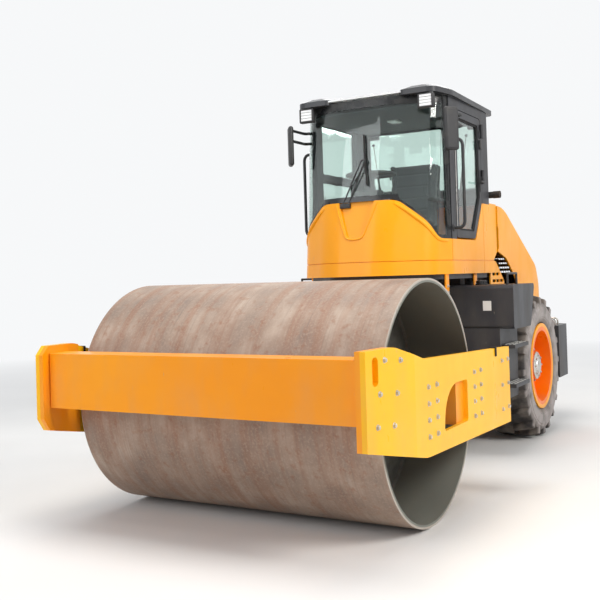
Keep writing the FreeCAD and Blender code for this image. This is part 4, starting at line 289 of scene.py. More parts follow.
@dataclass(frozen=True)
class Metal(Finish):
    """Machined, plated or cast metal with fine tool marks and some grime."""

    grime: Colour = paint(58, 52, 46)
    roughness: float = 0.35
    metallic: float = 0.9
    grimy: float = 0.25

    def mix(self, recipe: Recipe) -> None:
        """Builds the metal's nodes."""
        smear = recipe.noise(14.0, 6.0)
        share = recipe.spread(smear, 0.45, 0.75, 0.0, self.grimy * 2.0)
        recipe.set(Base_Color=recipe.blend(share, self.colour, self.grime), Metallic=self.metallic)
        recipe.set(Roughness=recipe.spread(smear, 0.3, 0.7, self.roughness - 0.08, self.roughness + 0.15))
        recipe.bump(recipe.noise(240.0, 3.0), 0.0004, 0.3)


@dataclass(frozen=True)
class Rubber(Finish):
    """Tyre or seal rubber, greyed by dust in patches."""

    dust: Colour = paint(120, 108, 94)
    dustiness: float = 0.3

    def mix(self, recipe: Recipe) -> None:
        """Builds the rubber's nodes."""
        cloud = recipe.noise(7.0, 6.0)
        share = recipe.spread(cloud, 0.38, 0.75, 0.0, self.dustiness * 1.6)
        recipe.set(Base_Color=recipe.blend(share, self.colour, self.dust), Specular_IOR_Level=0.35)
        recipe.set(Roughness=recipe.spread(cloud, 0.3, 0.7, 0.62, 0.86))
        recipe.bump(recipe.noise(160.0, 4.0), 0.0008, 0.5)


@dataclass(frozen=True)
class TyreRubber(Rubber):
    """A tyre's rubber, with dry pale dust on its sidewalls and on the lugs' ends."""

    wall: Colour = paint(172, 165, 162)
    middle: float = 0.73
    reach: float = 0.192

    def mix(self, recipe: Recipe) -> None:
        """Builds the rubber's nodes."""
        super().mix(recipe)
        tread = recipe.shader.inputs["Base Color"].links[0].from_socket
        across = recipe.sums("ABSOLUTE", recipe.sums("SUBTRACT", recipe.sums("ABSOLUTE", recipe.split()[1]),
                                                     self.middle))
        wall = recipe.spread(across, self.reach, self.reach + 0.022, 0.0, 0.80)
        patchy = recipe.sums("MULTIPLY", wall, recipe.spread(recipe.noise(11.0, 5.0), 0.30, 0.60, 0.45, 1.0))
        recipe.set(Base_Color=recipe.blend(patchy, tread, self.wall))


@dataclass(frozen=True)
class Plastic(Finish):
    """Moulded plastic with a fine leather-like grain."""

    roughness: float = 0.45

    def mix(self, recipe: Recipe) -> None:
        """Builds the plastic's nodes."""
        grain = recipe.put("ShaderNodeTexVoronoi", {"Vector": recipe.place,
                                                    "Scale": 380.0}).outputs["Distance"]
        cloud = recipe.noise(9.0, 4.0)
        recipe.set(Base_Color=recipe.blend(recipe.spread(cloud, 0.5, 0.8, 0.0, 0.3), self.colour,
                                           paint(96, 92, 86)))
        recipe.set(Roughness=recipe.spread(cloud, 0.3, 0.7, self.roughness - 0.06, self.roughness + 0.14))
        recipe.bump(grain, 0.0005, 0.35)


@dataclass(frozen=True)
class Glass(Finish):
    """Tinted safety glass with a faint film; shadow rays pass it so that the cab is lit."""

    shade: float = 0.72

    def mix(self, recipe: Recipe) -> None:
        """Builds the glass's nodes."""
        film = recipe.spread(recipe.noise(6.0, 6.0, (1.0, 1.0, 0.4)), 0.45, 0.8, 0.0, 0.09)
        shadow = recipe.put("ShaderNodeLightPath", {}).outputs["Is Shadow Ray"]
        recipe.set(Base_Color=self.colour, Transmission_Weight=1.0, Roughness=film, IOR=1.45)
        recipe.set(Alpha=recipe.sums("SUBTRACT", 1.0, recipe.sums("MULTIPLY", shadow, self.shade)))


@dataclass(frozen=True)
class Lens(Finish):
    """A lamp lens with moulded prisms, clear or coloured."""

    clear: float = 0.0
    pitch: float = 420.0

    def mix(self, recipe: Recipe) -> None:
        """Builds the lens's nodes."""
        x, y, z = (recipe.sums("SINE", recipe.sums("MULTIPLY", part, self.pitch)) for part in recipe.split())
        recipe.set(Base_Color=self.colour, Roughness=0.08, IOR=1.5, Transmission_Weight=self.clear)
        recipe.set(Coat_Weight=0.6, Coat_Roughness=0.05)
        recipe.bump(recipe.sums("ADD", recipe.sums("MULTIPLY", x, y), z), 0.001, 0.4)


@dataclass(frozen=True)
class Fabric(Finish):
    """Woven seat cloth with a soft sheen."""

    def mix(self, recipe: Recipe) -> None:
        """Builds the cloth's nodes."""
        x, y, z = (recipe.sums("SINE", recipe.sums("MULTIPLY", part, 900.0)) for part in recipe.split())
        weave = recipe.sums("ADD", recipe.sums("MULTIPLY", x, z), y)
        recipe.set(Base_Color=recipe.blend(recipe.spread(weave, -1.2, 1.2), self.colour, paint(92, 94, 98)))
        recipe.set(Roughness=0.9, Sheen_Weight=0.4, Specular_IOR_Level=0.2)
        recipe.bump(weave, 0.0008, 0.5)


@dataclass(frozen=True)
class FilterPaint(Paint):
    """The filters' blue paint, with their carrier bar in dark paint ahead of a plane."""

    bar: Colour = paint(50, 51, 55)
    bar_end: float = 0.0605

    def mix(self, recipe: Recipe) -> None:
        """Builds the paint's nodes."""
        super().mix(recipe)
        share = recipe.spread(recipe.split()[0], self.bar_end - 0.0002, self.bar_end, 1.0, 0.0)
        blue = recipe.shader.inputs["Base Color"].links[0].from_socket
        recipe.set(Base_Color=recipe.blend(share, blue, self.bar))


@dataclass(frozen=True)
class FadingFloor(Finish):
    """A pale floor that fades into the room's white far from the machine."""

    far: Colour = ROOM_WHITE
    near_edge: float = 4.5
    far_edge: float = 13.0

    def mix(self, recipe: Recipe) -> None:
        """Builds the floor's nodes."""
        x, y, _ = recipe.split()
        squares = recipe.sums("ADD", recipe.sums("POWER", x, 2.0), recipe.sums("POWER", y, 2.0))
        fade = recipe.spread(recipe.sums("SQRT", squares), self.near_edge, self.far_edge)
        cloud = recipe.spread(recipe.noise(0.6, 3.0), 0.3, 0.7)
        pale = recipe.blend(cloud, self.colour, paint(226, 225, 223))
        recipe.set(Base_Color=recipe.blend(fade, pale, (0.0, 0.0, 0.0, 1.0)), Roughness=0.8)
        recipe.set(Specular_IOR_Level=0.0, Emission_Color=self.far, Emission_Strength=fade)


YELLOW = Paint("yellow_gloss_paint", "yellow_paint", paint(251, 168, 8), paint(248, 160, 6))
PLATE_YELLOW = Paint("plate_gloss_paint", "yellow_paint", paint(254, 190, 10), paint(250, 181, 8))
ORANGE = Paint("orange_gloss_paint", "orange_paint", paint(250, 158, 10), paint(246, 149, 8))
RIM_ORANGE = Paint("rim_orange_paint", "orange_paint", paint(246, 122, 6), paint(240, 113, 5))
CHARCOAL = Paint("charcoal_satin_paint", "charcoal_paint", paint(56, 57, 61), paint(48, 49, 53),
                 dustiness=0.07, roughness=0.42, coat=0.1)
# The roof's charcoal is painted a shade lighter than the cab's: a painted sheen from the light above; its coat
# and roughness are its own satin finish.
SHEEN_LIT_ROOF_GREY = Paint("roof_satin_paint_with_painted_sheen", "charcoal_paint", paint(62, 63, 66), paint(54, 55, 58),
                  dustiness=0.05, roughness=0.38, coat=0.15)
BLUE = FilterPaint("blue_filter_paint", "filter_blue", paint(40, 96, 196), paint(30, 82, 180))
LATCH_RED = Paint("red_latch_paint", "orange_paint", paint(222, 66, 22), paint(210, 58, 18))
DRUM_STEEL = RolledSteel("rolled_drum_steel", "drum_steel", paint(156, 135, 119))
HEAD_STEEL = Metal("painted_drum_head", "drum_steel", paint(92, 93, 88), roughness=0.6, metallic=0.15)
BRIGHT_STEEL = Metal("plated_steel", "machine_steel", paint(206, 204, 198), roughness=0.3, metallic=0.8)
DARK_CASTING = Metal("dark_casting", "cast_parts", paint(62, 62, 64), roughness=0.55, metallic=0.35)
BURNT_BLACK = Metal("heat_black", "cast_parts", paint(40, 40, 41), paint(96, 78, 62), roughness=0.7,
                    metallic=0.1)
TREAD_RUBBER = TyreRubber("tread_rubber", "tyre_rubber", paint(56, 53, 52), paint(150, 139, 128),
                          dustiness=0.42)
SEAL_RUBBER = Rubber("seal_rubber", "black_trim", paint(26, 26, 27), dustiness=0.05)
BLACK_PLASTIC = Plastic("black_plastic", "black_trim", paint(36, 36, 38))
GREY_PLASTIC = Plastic("grey_plastic", "black_trim", paint(96, 98, 100))
HEADLINER = Plastic("headliner_grey", "black_trim", paint(74, 80, 84), roughness=0.8)
BAKED_BAND = Plastic("baked_band", "black_trim", paint(18, 20, 21), roughness=0.22)
CAB_GLASS = Glass("tinted_cab_glass", "cab_glass", (0.74, 0.85, 0.81, 1.0))
RED_LENS = Lens("red_lens", "red_lens", paint(206, 20, 24))
AMBER_LENS = Lens("amber_lens", "amber_lens", paint(248, 160, 24))
CLEAR_LENS = Lens("clear_lens", "clear_lens", (0.36, 0.38, 0.41, 1.0), clear=0.2)
VISOR_CLEAR = Lens("visor_clear", "clear_lens", (0.90, 0.91, 0.90, 1.0), clear=0.35, pitch=60.0)
SEAT_CLOTH = Fabric("seat_cloth", "seat_cover", paint(60, 62, 66))
WHITE_PLATE = Paint("white_plate", "clear_lens", paint(232, 232, 228), paint(224, 224, 220), dustiness=0.03)
MIRROR = Metal("mirror_glass", "machine_steel", paint(214, 220, 224), roughness=0.1, grimy=0.02)
STUDIO_FLOOR = FadingFloor("pale_floor", "clear_lens", paint(232, 231, 229))

NODE_FINISH = {
    "yellow_paint": YELLOW, "orange_paint": ORANGE, "charcoal_paint": CHARCOAL, "drum_steel": DRUM_STEEL,
    "machine_steel": BRIGHT_STEEL, "cast_parts": DARK_CASTING, "tyre_rubber": TREAD_RUBBER,
    "cab_glass": CAB_GLASS,
    "black_trim": BLACK_PLASTIC, "seat_cover": SEAT_CLOTH, "red_lens": RED_LENS, "amber_lens": AMBER_LENS,
    "clear_lens": CLEAR_LENS, "filter_blue": BLUE,
}
OWN_FINISH = {
    "drum_heads": HEAD_STEEL, "rim_left": RIM_ORANGE, "rim_right": RIM_ORANGE, "cab_roof": SHEEN_LIT_ROOF_GREY,
    "roof_visor": VISOR_CLEAR, "muffler": BURNT_BLACK, "side_plate_left": PLATE_YELLOW,
    "side_plate_right": PLATE_YELLOW, "rear_beam": PLATE_YELLOW,
}


# Modelling by hand

def only(*pieces: Piece) -> None:
    """Selects these pieces and nothing else; the first is the active one."""
    bpy.ops.object.select_all(action="DESELECT")
    for piece in pieces:
        piece.select_set(True)
    bpy.context.view_layer.objects.active = pieces[0]


@contextmanager
def keeping(piece: Piece, mode: str) -> Iterator[None]:
    """Opens a piece in edit mode with what is selected on it kept, and closes it again."""
    only(piece)
    bpy.ops.object.mode_set(mode="EDIT")
    bpy.ops.mesh.select_mode(type=mode)
    yield
    bpy.ops.object.mode_set(mode="OBJECT")


@contextmanager
def shaping(piece: Piece, mode: str = "VERT") -> Iterator[None]:
    """Opens a piece in edit mode with everything on it selected, and closes it again."""
    with keeping(piece, mode):
        bpy.ops.mesh.select_all(action="SELECT")
        yield


def face_outward() -> None:
    """Selects the whole of the piece being edited and turns its faces outward."""
    bpy.ops.mesh.select_all(action="SELECT")
    bpy.ops.mesh.normals_make_consistent(inside=False)


def named(piece: Piece, name: str) -> Piece:
    """A piece that has a name, on its mesh too."""
    piece.name = name
    piece.data.name = name
    return piece


def twin_of(piece: Piece) -> Piece:
    """A copy of a piece with a mesh of its own."""
    twin = piece.copy()
    twin.data = piece.data.copy()
    bpy.context.scene.collection.objects.link(twin)
    return twin


def settle(piece: Piece, name: str, smooth: float = 32.0) -> Piece:
    """Names a piece, carries its place into its mesh and smooths its gentle edges."""
    only(named(piece, name))
    bpy.ops.object.transform_apply(location=True, rotation=True, scale=True)
    bpy.ops.object.shade_smooth_by_angle(angle=math.radians(smooth))
    return piece


def bevelled(piece: Piece, width: float, segments: int = 2, angle: float = 35.0) -> Piece:
    """Rounds a piece's sharp edges with an applied bevel."""
    if width:
        only(piece)
        bevel = piece.modifiers.new("edges", "BEVEL")
        bevel.width = width
        bevel.segments = segments
        bevel.angle_limit = math.radians(angle)
        bpy.ops.object.modifier_apply(modifier=bevel.name)
    return piece


def outline(points: Sequence[Vector], filled: bool) -> Piece:
    """A closed outline: a ring of vertices carried to their places."""
    bpy.ops.object.select_all(action="DESELECT")
    bpy.ops.mesh.primitive_circle_add(vertices=len(points), fill_type="NGON" if filled else "NOTHING")
    ring = bpy.context.object
    for vertex, point in zip(ring.data.vertices, points):
        vertex.co = point
    return ring


def bar(name: str, low: Sequence[float], high: Sequence[float], edge: float, segments: int = 2) -> Piece:
    """A straight bar between two corners with rounded edges."""
    bpy.ops.object.select_all(action="DESELECT")
    middle = [(a + b) / 2 for a, b in zip(low, high)]
    bpy.ops.mesh.primitive_cube_add(size=1.0, location=middle)
    piece = bpy.context.object
    with shaping(piece):
        bpy.ops.transform.resize(value=[abs(b - a) for a, b in zip(low, high)])
    return settle(bevelled(settle(piece, name), edge, segments), name)


def slab(name: str, points: Sequence[Vector], run: Vector, edge: float = 0.0, segments: int = 2) -> Piece:
    """A flat outline drawn out along a run, with rounded edges."""
    piece = outline(points, True)
    with shaping(piece):
        bpy.ops.mesh.extrude_region_move(TRANSFORM_OT_translate={"value": run})
        face_outward()
    return settle(bevelled(piece, edge, segments), name)


def lathe(name: str, section: Sequence[tuple[float, float]], centre: Vector, axis: Vector, steps: int = 64,
          edge: float = 0.0) -> Piece:
    """A section of (radius, place along) pairs turned about an axis."""
    across = UP if abs(axis.z) < 0.9 else FRONT
    piece = outline([centre + across * radius + axis * along for radius, along in section], False)
    with shaping(piece):
        bpy.ops.mesh.spin(steps=steps, angle=math.tau, center=centre, axis=axis)
        bpy.ops.mesh.select_all(action="SELECT")
        bpy.ops.mesh.remove_doubles(threshold=MERGE_DISTANCE)
        bpy.ops.mesh.dissolve_degenerate(threshold=0.00001)
        face_outward()
    return settle(bevelled(piece, edge), name)


def pipe(name: str, points: Sequence[Sequence[float]], radius: float, bend: float) -> Piece:
    """A tube through points, with each corner bent round."""
    route = [Vector(point) for point in points]
    curve = bpy.data.curves.new(name, "CURVE")
    curve.dimensions = "3D"
    curve.bevel_depth = radius
    curve.bevel_resolution = 4
    curve.resolution_u = 8
    curve.use_fill_caps = True
    spline = curve.splines.new("BEZIER")
    spline.bezier_points.add(2 * len(route) - 3)
    knots = [(route[0], route[0], route[0])]
    for before, corner, after in zip(route, route[1:], route[2:]):
        start = corner + (before - corner).normalized() * min(bend, (before - corner).length / 2.2)
        end = corner + (after - corner).normalized() * min(bend, (after - corner).length / 2.2)
        knots.append((start, start, start.lerp(corner, 0.56)))
        knots.append((end.lerp(corner, 0.56), end, end))
    knots.append((route[-1], route[-1], route[-1]))
    for knot, (left, middle, right) in zip(spline.bezier_points, knots):
        knot.handle_left_type = knot.handle_right_type = "FREE"
        knot.handle_left, knot.co, knot.handle_right = left, middle, right
    tube = bpy.data.objects.new(name, curve)
    bpy.context.scene.collection.objects.link(tube)
    only(tube)
    bpy.ops.object.convert(target="MESH")
    return settle(bpy.context.object, name)


def joined(name: str, pieces: Sequence[Piece]) -> Piece:
    """Several pieces joined into one."""
    only(*pieces)
    if len(pieces) > 1:
        bpy.ops.object.join()
    return named(bpy.context.object, name)


def copies(name: str, model: Piece, places: Sequence[tuple[Vector, Vector]]) -> Piece:
    """One piece made of copies of a model that stands at the origin along Z.

    Args:
        name: The new piece's name.
        model: What is copied; it is used up.
        places: Each copy's foot and the way that it points.

    Returns:
        The copies, joined.
    """
    made = []
    for foot, way in places:
        twin = twin_of(model)
        twin.matrix_world = Matrix.Translation(foot) @ way.to_track_quat("Z", "Y").to_matrix().to_4x4()
        made.append(twin)
    bpy.data.objects.remove(model)
    return settle(joined(name, made), name)


def mirrored(piece: Piece, name: str) -> Piece:
    """A copy of a piece on the machine's other side."""
    twin = twin_of(piece)
    twin.data.transform(Matrix.Scale(-1.0, 4, LEFT))
    twin.data.flip_normals()
    return named(twin, name)


def dress(piece: Piece, finish: Finish, body: str = "rear_frame") -> Piece:
    """Gives a new piece its finish and the body that it rides on, and reports it."""
    piece.data.materials.clear()
    piece.data.materials.append(finish.material())
    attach(piece, body)
    LOG.info("%s: %s on %s, %d faces", piece.name, finish.name, body, len(piece.data.polygons))
    return piece


def fit(name: str, pieces: Sequence[Piece], finish: Finish, body: str = "rear_frame") -> Piece:
    """Joins pieces under a name and dresses the whole."""
    return dress(joined(name, pieces), finish, body)


def both_sides(piece: Piece, finish: Finish, body: str = "rear_frame") -> None:
    """Dresses a left piece and its mirror image on the same body."""
    stem = piece.name
    twin = mirrored(piece, stem + "_right")
    piece.name = stem + "_left"
    dress(piece, finish, body)
    dress(twin, finish, body)


def hex_bolt(radius: float, height: float) -> Piece:
    """A hexagon bolt head on its washer, standing on the origin."""
    bpy.ops.object.select_all(action="DESELECT")
    bpy.ops.mesh.primitive_cylinder_add(vertices=6, radius=radius, depth=height,
                                        location=(0, 0, height * 0.7))
    head = bpy.context.object
    with shaping(head, "FACE"):
        bpy.ops.mesh.select_all(action="DESELECT")
    for face in head.data.polygons:
        face.select = face.normal.z > 0.9
    with keeping(head, "FACE"):
        bpy.ops.mesh.inset(thickness=radius * 0.14, depth=radius * 0.10)
    washer = lathe("washer", [(0.0, 0.0), (radius * 1.35, 0.0), (radius * 1.35, height * 0.16),
                              (radius * 1.25, height * 0.22), (0.0, height * 0.22)], Vector(), UP, 20)
    return settle(joined("bolt", [settle(head, "head"), washer]), "bolt")


def touch(node: str, start: Sequence[float], way: Vector) -> Vector:
    """The first place where a line from a start meets a CAD node's skin."""
    hit, place, _, _ = frame["nodes"][node].ray_cast(Vector(start), way)
    if not hit:
        raise RuntimeError(f"no skin of {node} ahead of {start}")
    return place


def taken(node: str) -> Piece:
    """A merged copy of a CAD node's mesh, to model on."""
    twin = frame["nodes"][node].copy()
    twin.data = twin.data.copy()
    twin.parent = None
    twin.matrix_world = Matrix()
    bpy.context.scene.collection.objects.link(twin)
    with shaping(twin):
        bpy.ops.mesh.remove_doubles(threshold=MERGE_DISTANCE)
    return twin


def turned(piece: Piece, matrix: Matrix) -> Piece:
    """A piece whose mesh has been carried to a place."""
    piece.data.transform(matrix)
    return piece


def bolt_row(places: Sequence[tuple[Vector, Vector]], radius: float, height: float, name: str) -> Piece:
    """Hexagon bolts at places, as one piece."""
    return copies(name, hex_bolt(radius, height), places)


def ring_of(centre: Vector, out: Vector, radius: float, count: int,
            start: float = 0.0) -> list[tuple[Vector, Vector]]:
    """Places spread round a ring that faces to one side."""
    places = []
    for index in range(count):
        angle = start + index * math.tau / count
        places.append((centre + Vector((math.cos(angle), 0.0, math.sin(angle))) * radius, out))
    return places


def corners(side: Side, low: Sequence[float], high: Sequence[float]) -> tuple[Vector, Vector]:
    """The lowest and highest corner of a box given for the left side, carried to this one."""
    a, b = side.at(*low), side.at(*high)
    return Vector(map(min, a, b)), Vector(map(max, a, b))


# Camera, floor and light

@dataclass
class Studio:
    """The pale room that the machine stands in, with the camera where the photographer stood."""

    eye: tuple[float, float, float] = (6.70, 3.05, 1.52)
    heading: float = 209.6
    pitch: float = 0.74
    roll: float = -1.71
    lens: float = 53.0
    shift_y: float = -0.055
    floor_size: float = 60.0

    def camera(self) -> None:
        """Sets the camera up."""
        data = bpy.data.cameras.new("photographer")
        data.lens = self.lens
        data.sensor_width = SENSOR_WIDTH
        data.shift_y = self.shift_y
        camera = bpy.data.objects.new("photographer", data)
        bpy.context.scene.collection.objects.link(camera)
        turn = Matrix.Rotation(math.radians(self.heading - 90.0), 4, "Z")
        tilt = Matrix.Rotation(math.radians(90.0 + self.pitch), 4, "X")
        lean = Matrix.Rotation(math.radians(self.roll), 4, "Z")
        camera.matrix_world = Matrix.Translation(self.eye) @ turn @ tilt @ lean
        bpy.context.scene.camera = camera

    def floor(self) -> None:
        """Lays a pale floor that catches the machine's shadow."""
        bpy.ops.object.select_all(action="DESELECT")
        bpy.ops.mesh.primitive_plane_add(size=self.floor_size)
        plane = bpy.context.object
        with shaping(plane):
            bpy.ops.mesh.subdivide(number_cuts=3)
        settle(plane, "studio_floor")
        plane.data.materials.append(STUDIO_FLOOR.material())

    def lamp(self, name: str, place: Sequence[float], size: float, power: float, warmth: Colour) -> None:
        """Adds a soft lamp that faces the machine's middle."""
        data = bpy.data.lights.new(name, "AREA")
        data.shape = "DISK"
        data.size = size
        data.energy = power
        data.color = warmth[:3]
        lamp = bpy.data.objects.new(name, data)
        bpy.context.scene.collection.objects.link(lamp)
        lamp.location = place
        lamp.rotation_euler = (Vector(place) - UP).to_track_quat("Z", "Y").to_euler()

    def light(self) -> None:
        """Hangs the lamps and sets the world round the machine."""
        self.lamp("key_lamp", (2.5, 8.5, 6.5), 4.0, 620.0, (1.0, 0.97, 0.93, 1.0))
        self.lamp("top_lamp", (1.2, 0.0, 8.5), 5.0, 420.0, (1.0, 0.99, 0.97, 1.0))
        self.lamp("front_lamp", (9.0, -3.5, 5.0), 6.0, 240.0, (0.96, 0.98, 1.0, 1.0))
        self.lamp("rear_lamp", (-8.5, -4.0, 6.5), 5.0, 300.0, (1.0, 1.0, 1.0, 1.0))
        world = bpy.data.worlds.new("studio")
        world.use_nodes = True
        nodes, links = world.node_tree.nodes, world.node_tree.links
        room = nodes["Background"]
        room.inputs["Color"].default_value = (0.80, 0.84, 0.90, 1.0)
        room.inputs["Strength"].default_value = 0.50
        seen = nodes.new("ShaderNodeBackground")
        seen.inputs["Color"].default_value = ROOM_WHITE
        path = nodes.new("ShaderNodeLightPath")
        rays = path.outputs["Is Camera Ray"]
        for other in ("Is Glossy Ray", "Is Transmission Ray"):
            either = nodes.new("ShaderNodeMath")
            either.operation = "MAXIMUM"
            links.new(rays, either.inputs[0])
            links.new(path.outputs[other], either.inputs[1])
            rays = either.outputs[0]
        choice = nodes.new("ShaderNodeMixShader")
        links.new(rays, choice.inputs[0])
        links.new(room.outputs[0], choice.inputs[1])
        links.new(seen.outputs[0], choice.inputs[2])
        links.new(choice.outputs[0], nodes["World Output"].inputs["Surface"])
        bpy.context.scene.world = world
        bpy.context.scene.view_settings.view_transform = "Standard"

    def build(self) -> None:
        """Sets up camera, floor and light."""
        self.camera()
        self.floor()
        self.light()


# The machine's sub-assemblies

@dataclass
class Drum:
    """Weld seams and bolts on the drum's heads."""

    axis_x: float = 1.65
    axis_z: float = 0.75
    head_face: float = 0.635
    shell_inner: float = 0.7248
    hub_face: float = 0.675
    hub_ring: float = 0.155
    hub_bolts: int = 12
    bolt_radius: float = 0.013
    bolt_height: float = 0.016

    def build(self) -> None:
        """Puts a weld bead and a bolt ring on each head."""
        for side in Side:
            centre = side.at(self.axis_x, 0.0, self.axis_z)
            out = LEFT * side.value
            face, skin = self.head_face, self.shell_inner
            bead = lathe("head_weld_" + side.word, [
                (skin, face - 0.0005), (skin, face + 0.016), (skin - 0.007, face + 0.014), (skin - 0.016,
                                                                                            face + 0.006),
                (skin - 0.019, face - 0.0005),
            ], centre, out, 96)
            dress(bead, HEAD_STEEL, "drum")
            places = ring_of(centre + out * self.hub_face, out, self.hub_ring, self.hub_bolts)
            dress(bolt_row(places, self.bolt_radius, self.bolt_height, "head_bolts_" + side.word),
                  BRIGHT_STEEL, "drum")


@dataclass
class FrontFrame:
    """Bolts, straps and welds on the frame that carries the drum."""

    drum_x: float = 1.65
    drum_z: float = 0.75
    plate_half: float = 1.19
    plate_wall: float = 0.03
    fold_x: float = 2.19
    toe: float = 0.05 / 0.52
    bolt_radius: float = 0.0125
    bolt_height: float = 0.010
    front_spots: tuple[tuple[float, float], ...] = mm(868, 1085, 700, 1070, 925, 915, 745, 900, 955, 750,
                                                      785, 735)
    rows_of_four: tuple[float, ...] = (0.885, 0.790, 0.697, 0.602)
    left_columns: tuple[float, ...] = (0.35, 0.22, -0.45, -0.58)
    rear_rows: tuple[float, ...] = (0.90, 0.73, 0.56)
    carrier_face: float = 0.885
    carrier_ring: float = 0.245
    carrier_count: int = 12
    motor_face: float = 1.0
    motor_ring: float = 0.098
    motor_count: int = 8

    def on_plate(self, side: Side, along: float, z: float) -> tuple[Vector, Vector]:
        """A place on a side plate's outer face and the way that it faces."""
        x = self.drum_x + along
        lean = max(0.0, x - self.fold_x) * self.toe
        way = side.at(self.toe if x > self.fold_x else 0.0, 1.0, 0.0).normalized()
        return side.at(x, self.plate_half - lean, z), way

    def plate_bolts(self) -> None:
        """Puts the bolts on both side plates, each in its own pattern."""
        patterns = {
            Side.LEFT: ((self.left_columns, self.rows_of_four), ((-1.05, -1.195), self.rear_rows)),
            Side.RIGHT: (((0.31, -0.45), self.rows_of_four), ((-0.84,), (0.87, 0.78, 0.69, 0.60, 0.51)),
                         ((-1.195,), self.rear_rows)),
        }
        for side, groups in patterns.items():
            spots = self.front_spots + tuple((x, z) for columns,
                                             rows in groups for x in columns for z in rows)
            places = [self.on_plate(side, x, z) for x, z in spots]
            bolts = bolt_row(places, self.bolt_radius, self.bolt_height, "plate_bolts_" + side.word)
            dress(bolts, BRIGHT_STEEL, "front_frame")

    def carrier_bolts(self) -> None:
        """Puts bolts on the drum's carrier discs and on the ends of its motors."""
        places = []
        ends = []
        for side in Side:
            centre = side.at(self.drum_x, 0.0, self.drum_z)
            out = LEFT * side.value
            ring = ring_of(centre + out * self.carrier_face, out, self.carrier_ring, self.carrier_count,
                           math.radians(15.0))
            places += [spot for spot in ring if abs(spot[0].x - self.drum_x) < 0.15]
            ends += ring_of(centre + out * self.motor_face, out, self.motor_ring, self.motor_count)
        dress(bolt_row(places, 0.014, 0.016, "carrier_bolts"), BRIGHT_STEEL, "front_frame")
        dress(bolt_row(ends, 0.011, 0.012, "motor_bolts"), BRIGHT_STEEL, "front_frame")

    def straps(self) -> None:
        """Lays rubber straps over the side plates' top edges."""
        hooks = []
        for side, along, wide in ((Side.LEFT, -0.93, 0.030), (Side.RIGHT, -0.62, 0.085), (Side.RIGHT, 0.60,
                                                                                          0.026)):
            x = self.drum_x + along
            inner = self.plate_half - self.plate_wall
            top = touch("side_plate_" + side.word, side.at(x, inner + self.plate_wall / 2, 1.6), -UP).z
            section = [
                (inner - 0.008, top - 0.060), (inner - 0.008, top + 0.010), (self.plate_half + 0.008,
                                                                             top + 0.010),
                (self.plate_half + 0.008, top - 0.055), (self.plate_half + 0.001, top - 0.055),
                (self.plate_half + 0.001, top + 0.001), (inner - 0.001, top + 0.001), (inner - 0.001,
                                                                                       top - 0.060),
            ]
            hooks.append(slab("strap", [side.at(x, y, z) for y, z in section], FRONT * wide, 0.003))
        fit("plate_straps", hooks, SEAL_RUBBER, "front_frame")

    def beam_welds(self) -> None:
        """Runs a weld bead down each end of the front beam and along the rear beam's ends."""
        beads = []
        for side in Side:
            inner = self.plate_half - self.plate_wall
            for x, low, high, lean in ((2.651, 0.77, 1.08, 0.0445), (2.480, 0.77, 1.08, 0.028)):
                y = inner - lean - 0.002
                beads.append(pipe("bead", [side.at(x, y, low), side.at(x, y, high)], 0.006, 0.0))
            for x in (0.522, 0.788):
                beads.append(pipe("bead", [side.at(x, inner - 0.002, 0.52), side.at(x, inner - 0.002, 0.91)],
                                  0.006, 0.0))
        fit("frame_welds", beads, ORANGE, "front_frame")

    def build(self) -> None:
        """Builds all that this frame carries."""
        self.plate_bolts()
        self.carrier_bolts()
        self.straps()
        self.beam_welds()


@dataclass
class SteeringJoint:
    """The pins, glands and hard lines round the steering pin and its two cylinders."""

    pin_x: float = 0.305
    axis_z: float = 0.70
    cylinder_side: float = 0.25
    barrel_radius: float = 0.05

    def pins(self) -> None:
        """Caps the steering pin and bolts its cap down."""
        top = touch("chassis", (self.pin_x, 0.080, 1.45), -UP).z
        centre = Vector((self.pin_x, 0.0, top))
        section = mm(0, 0, 62, 0, 62, 10, 54, 16, 30, 18, 26, 12, 0, 12)
        ring = [(centre + Vector((math.cos(a), math.sin(a), 0.0)) * 0.044 + UP * 0.015, UP)
                for a in (index * math.tau / 4 + 0.6 for index in range(4))]
        dress(lathe("steering_pin_cap", section, centre, UP, 48), DARK_CASTING, "centre_yoke")
        dress(bolt_row(ring, 0.009, 0.008, "steering_pin_bolts"), BRIGHT_STEEL, "centre_yoke")

    def cylinder(self, side: Side) -> None:
        """Dresses one cylinder with its gland and the hard line along its barrel."""
        low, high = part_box("steer_barrel_" + side.word)
        axis = side.at(0.0, self.cylinder_side, self.axis_z)
        radius = self.barrel_radius
        gland = lathe("cylinder_gland_" + side.word, [
            (radius - 0.012, -0.040), (radius + 0.003, -0.040), (radius + 0.003, -0.006), (radius - 0.002,
                                                                                           0.0),
            (0.030, 0.004), (0.0275, 0.004), (0.0275, -0.002), (radius - 0.012, -0.002),
        ], Vector((high.x, axis.y, axis.z)), FRONT, 48)
        dress(gland, BRIGHT_STEEL, "barrel_" + side.word)
        top = self.axis_z + radius
        line = pipe("cylinder_line_" + side.word, [
            (low.x + 0.120, axis.y, top - 0.002), (low.x + 0.120, axis.y, top + 0.022), (high.x - 0.060,
                                                                                         axis.y, top + 0.022),
            (high.x - 0.060, axis.y, top - 0.002),
        ], 0.006, 0.012)
        dress(line, BRIGHT_STEEL, "barrel_" + side.word)

    def build(self) -> None:
        """Builds the joint's fittings."""
        self.pins()
        for side in Side:
            self.cylinder(side)


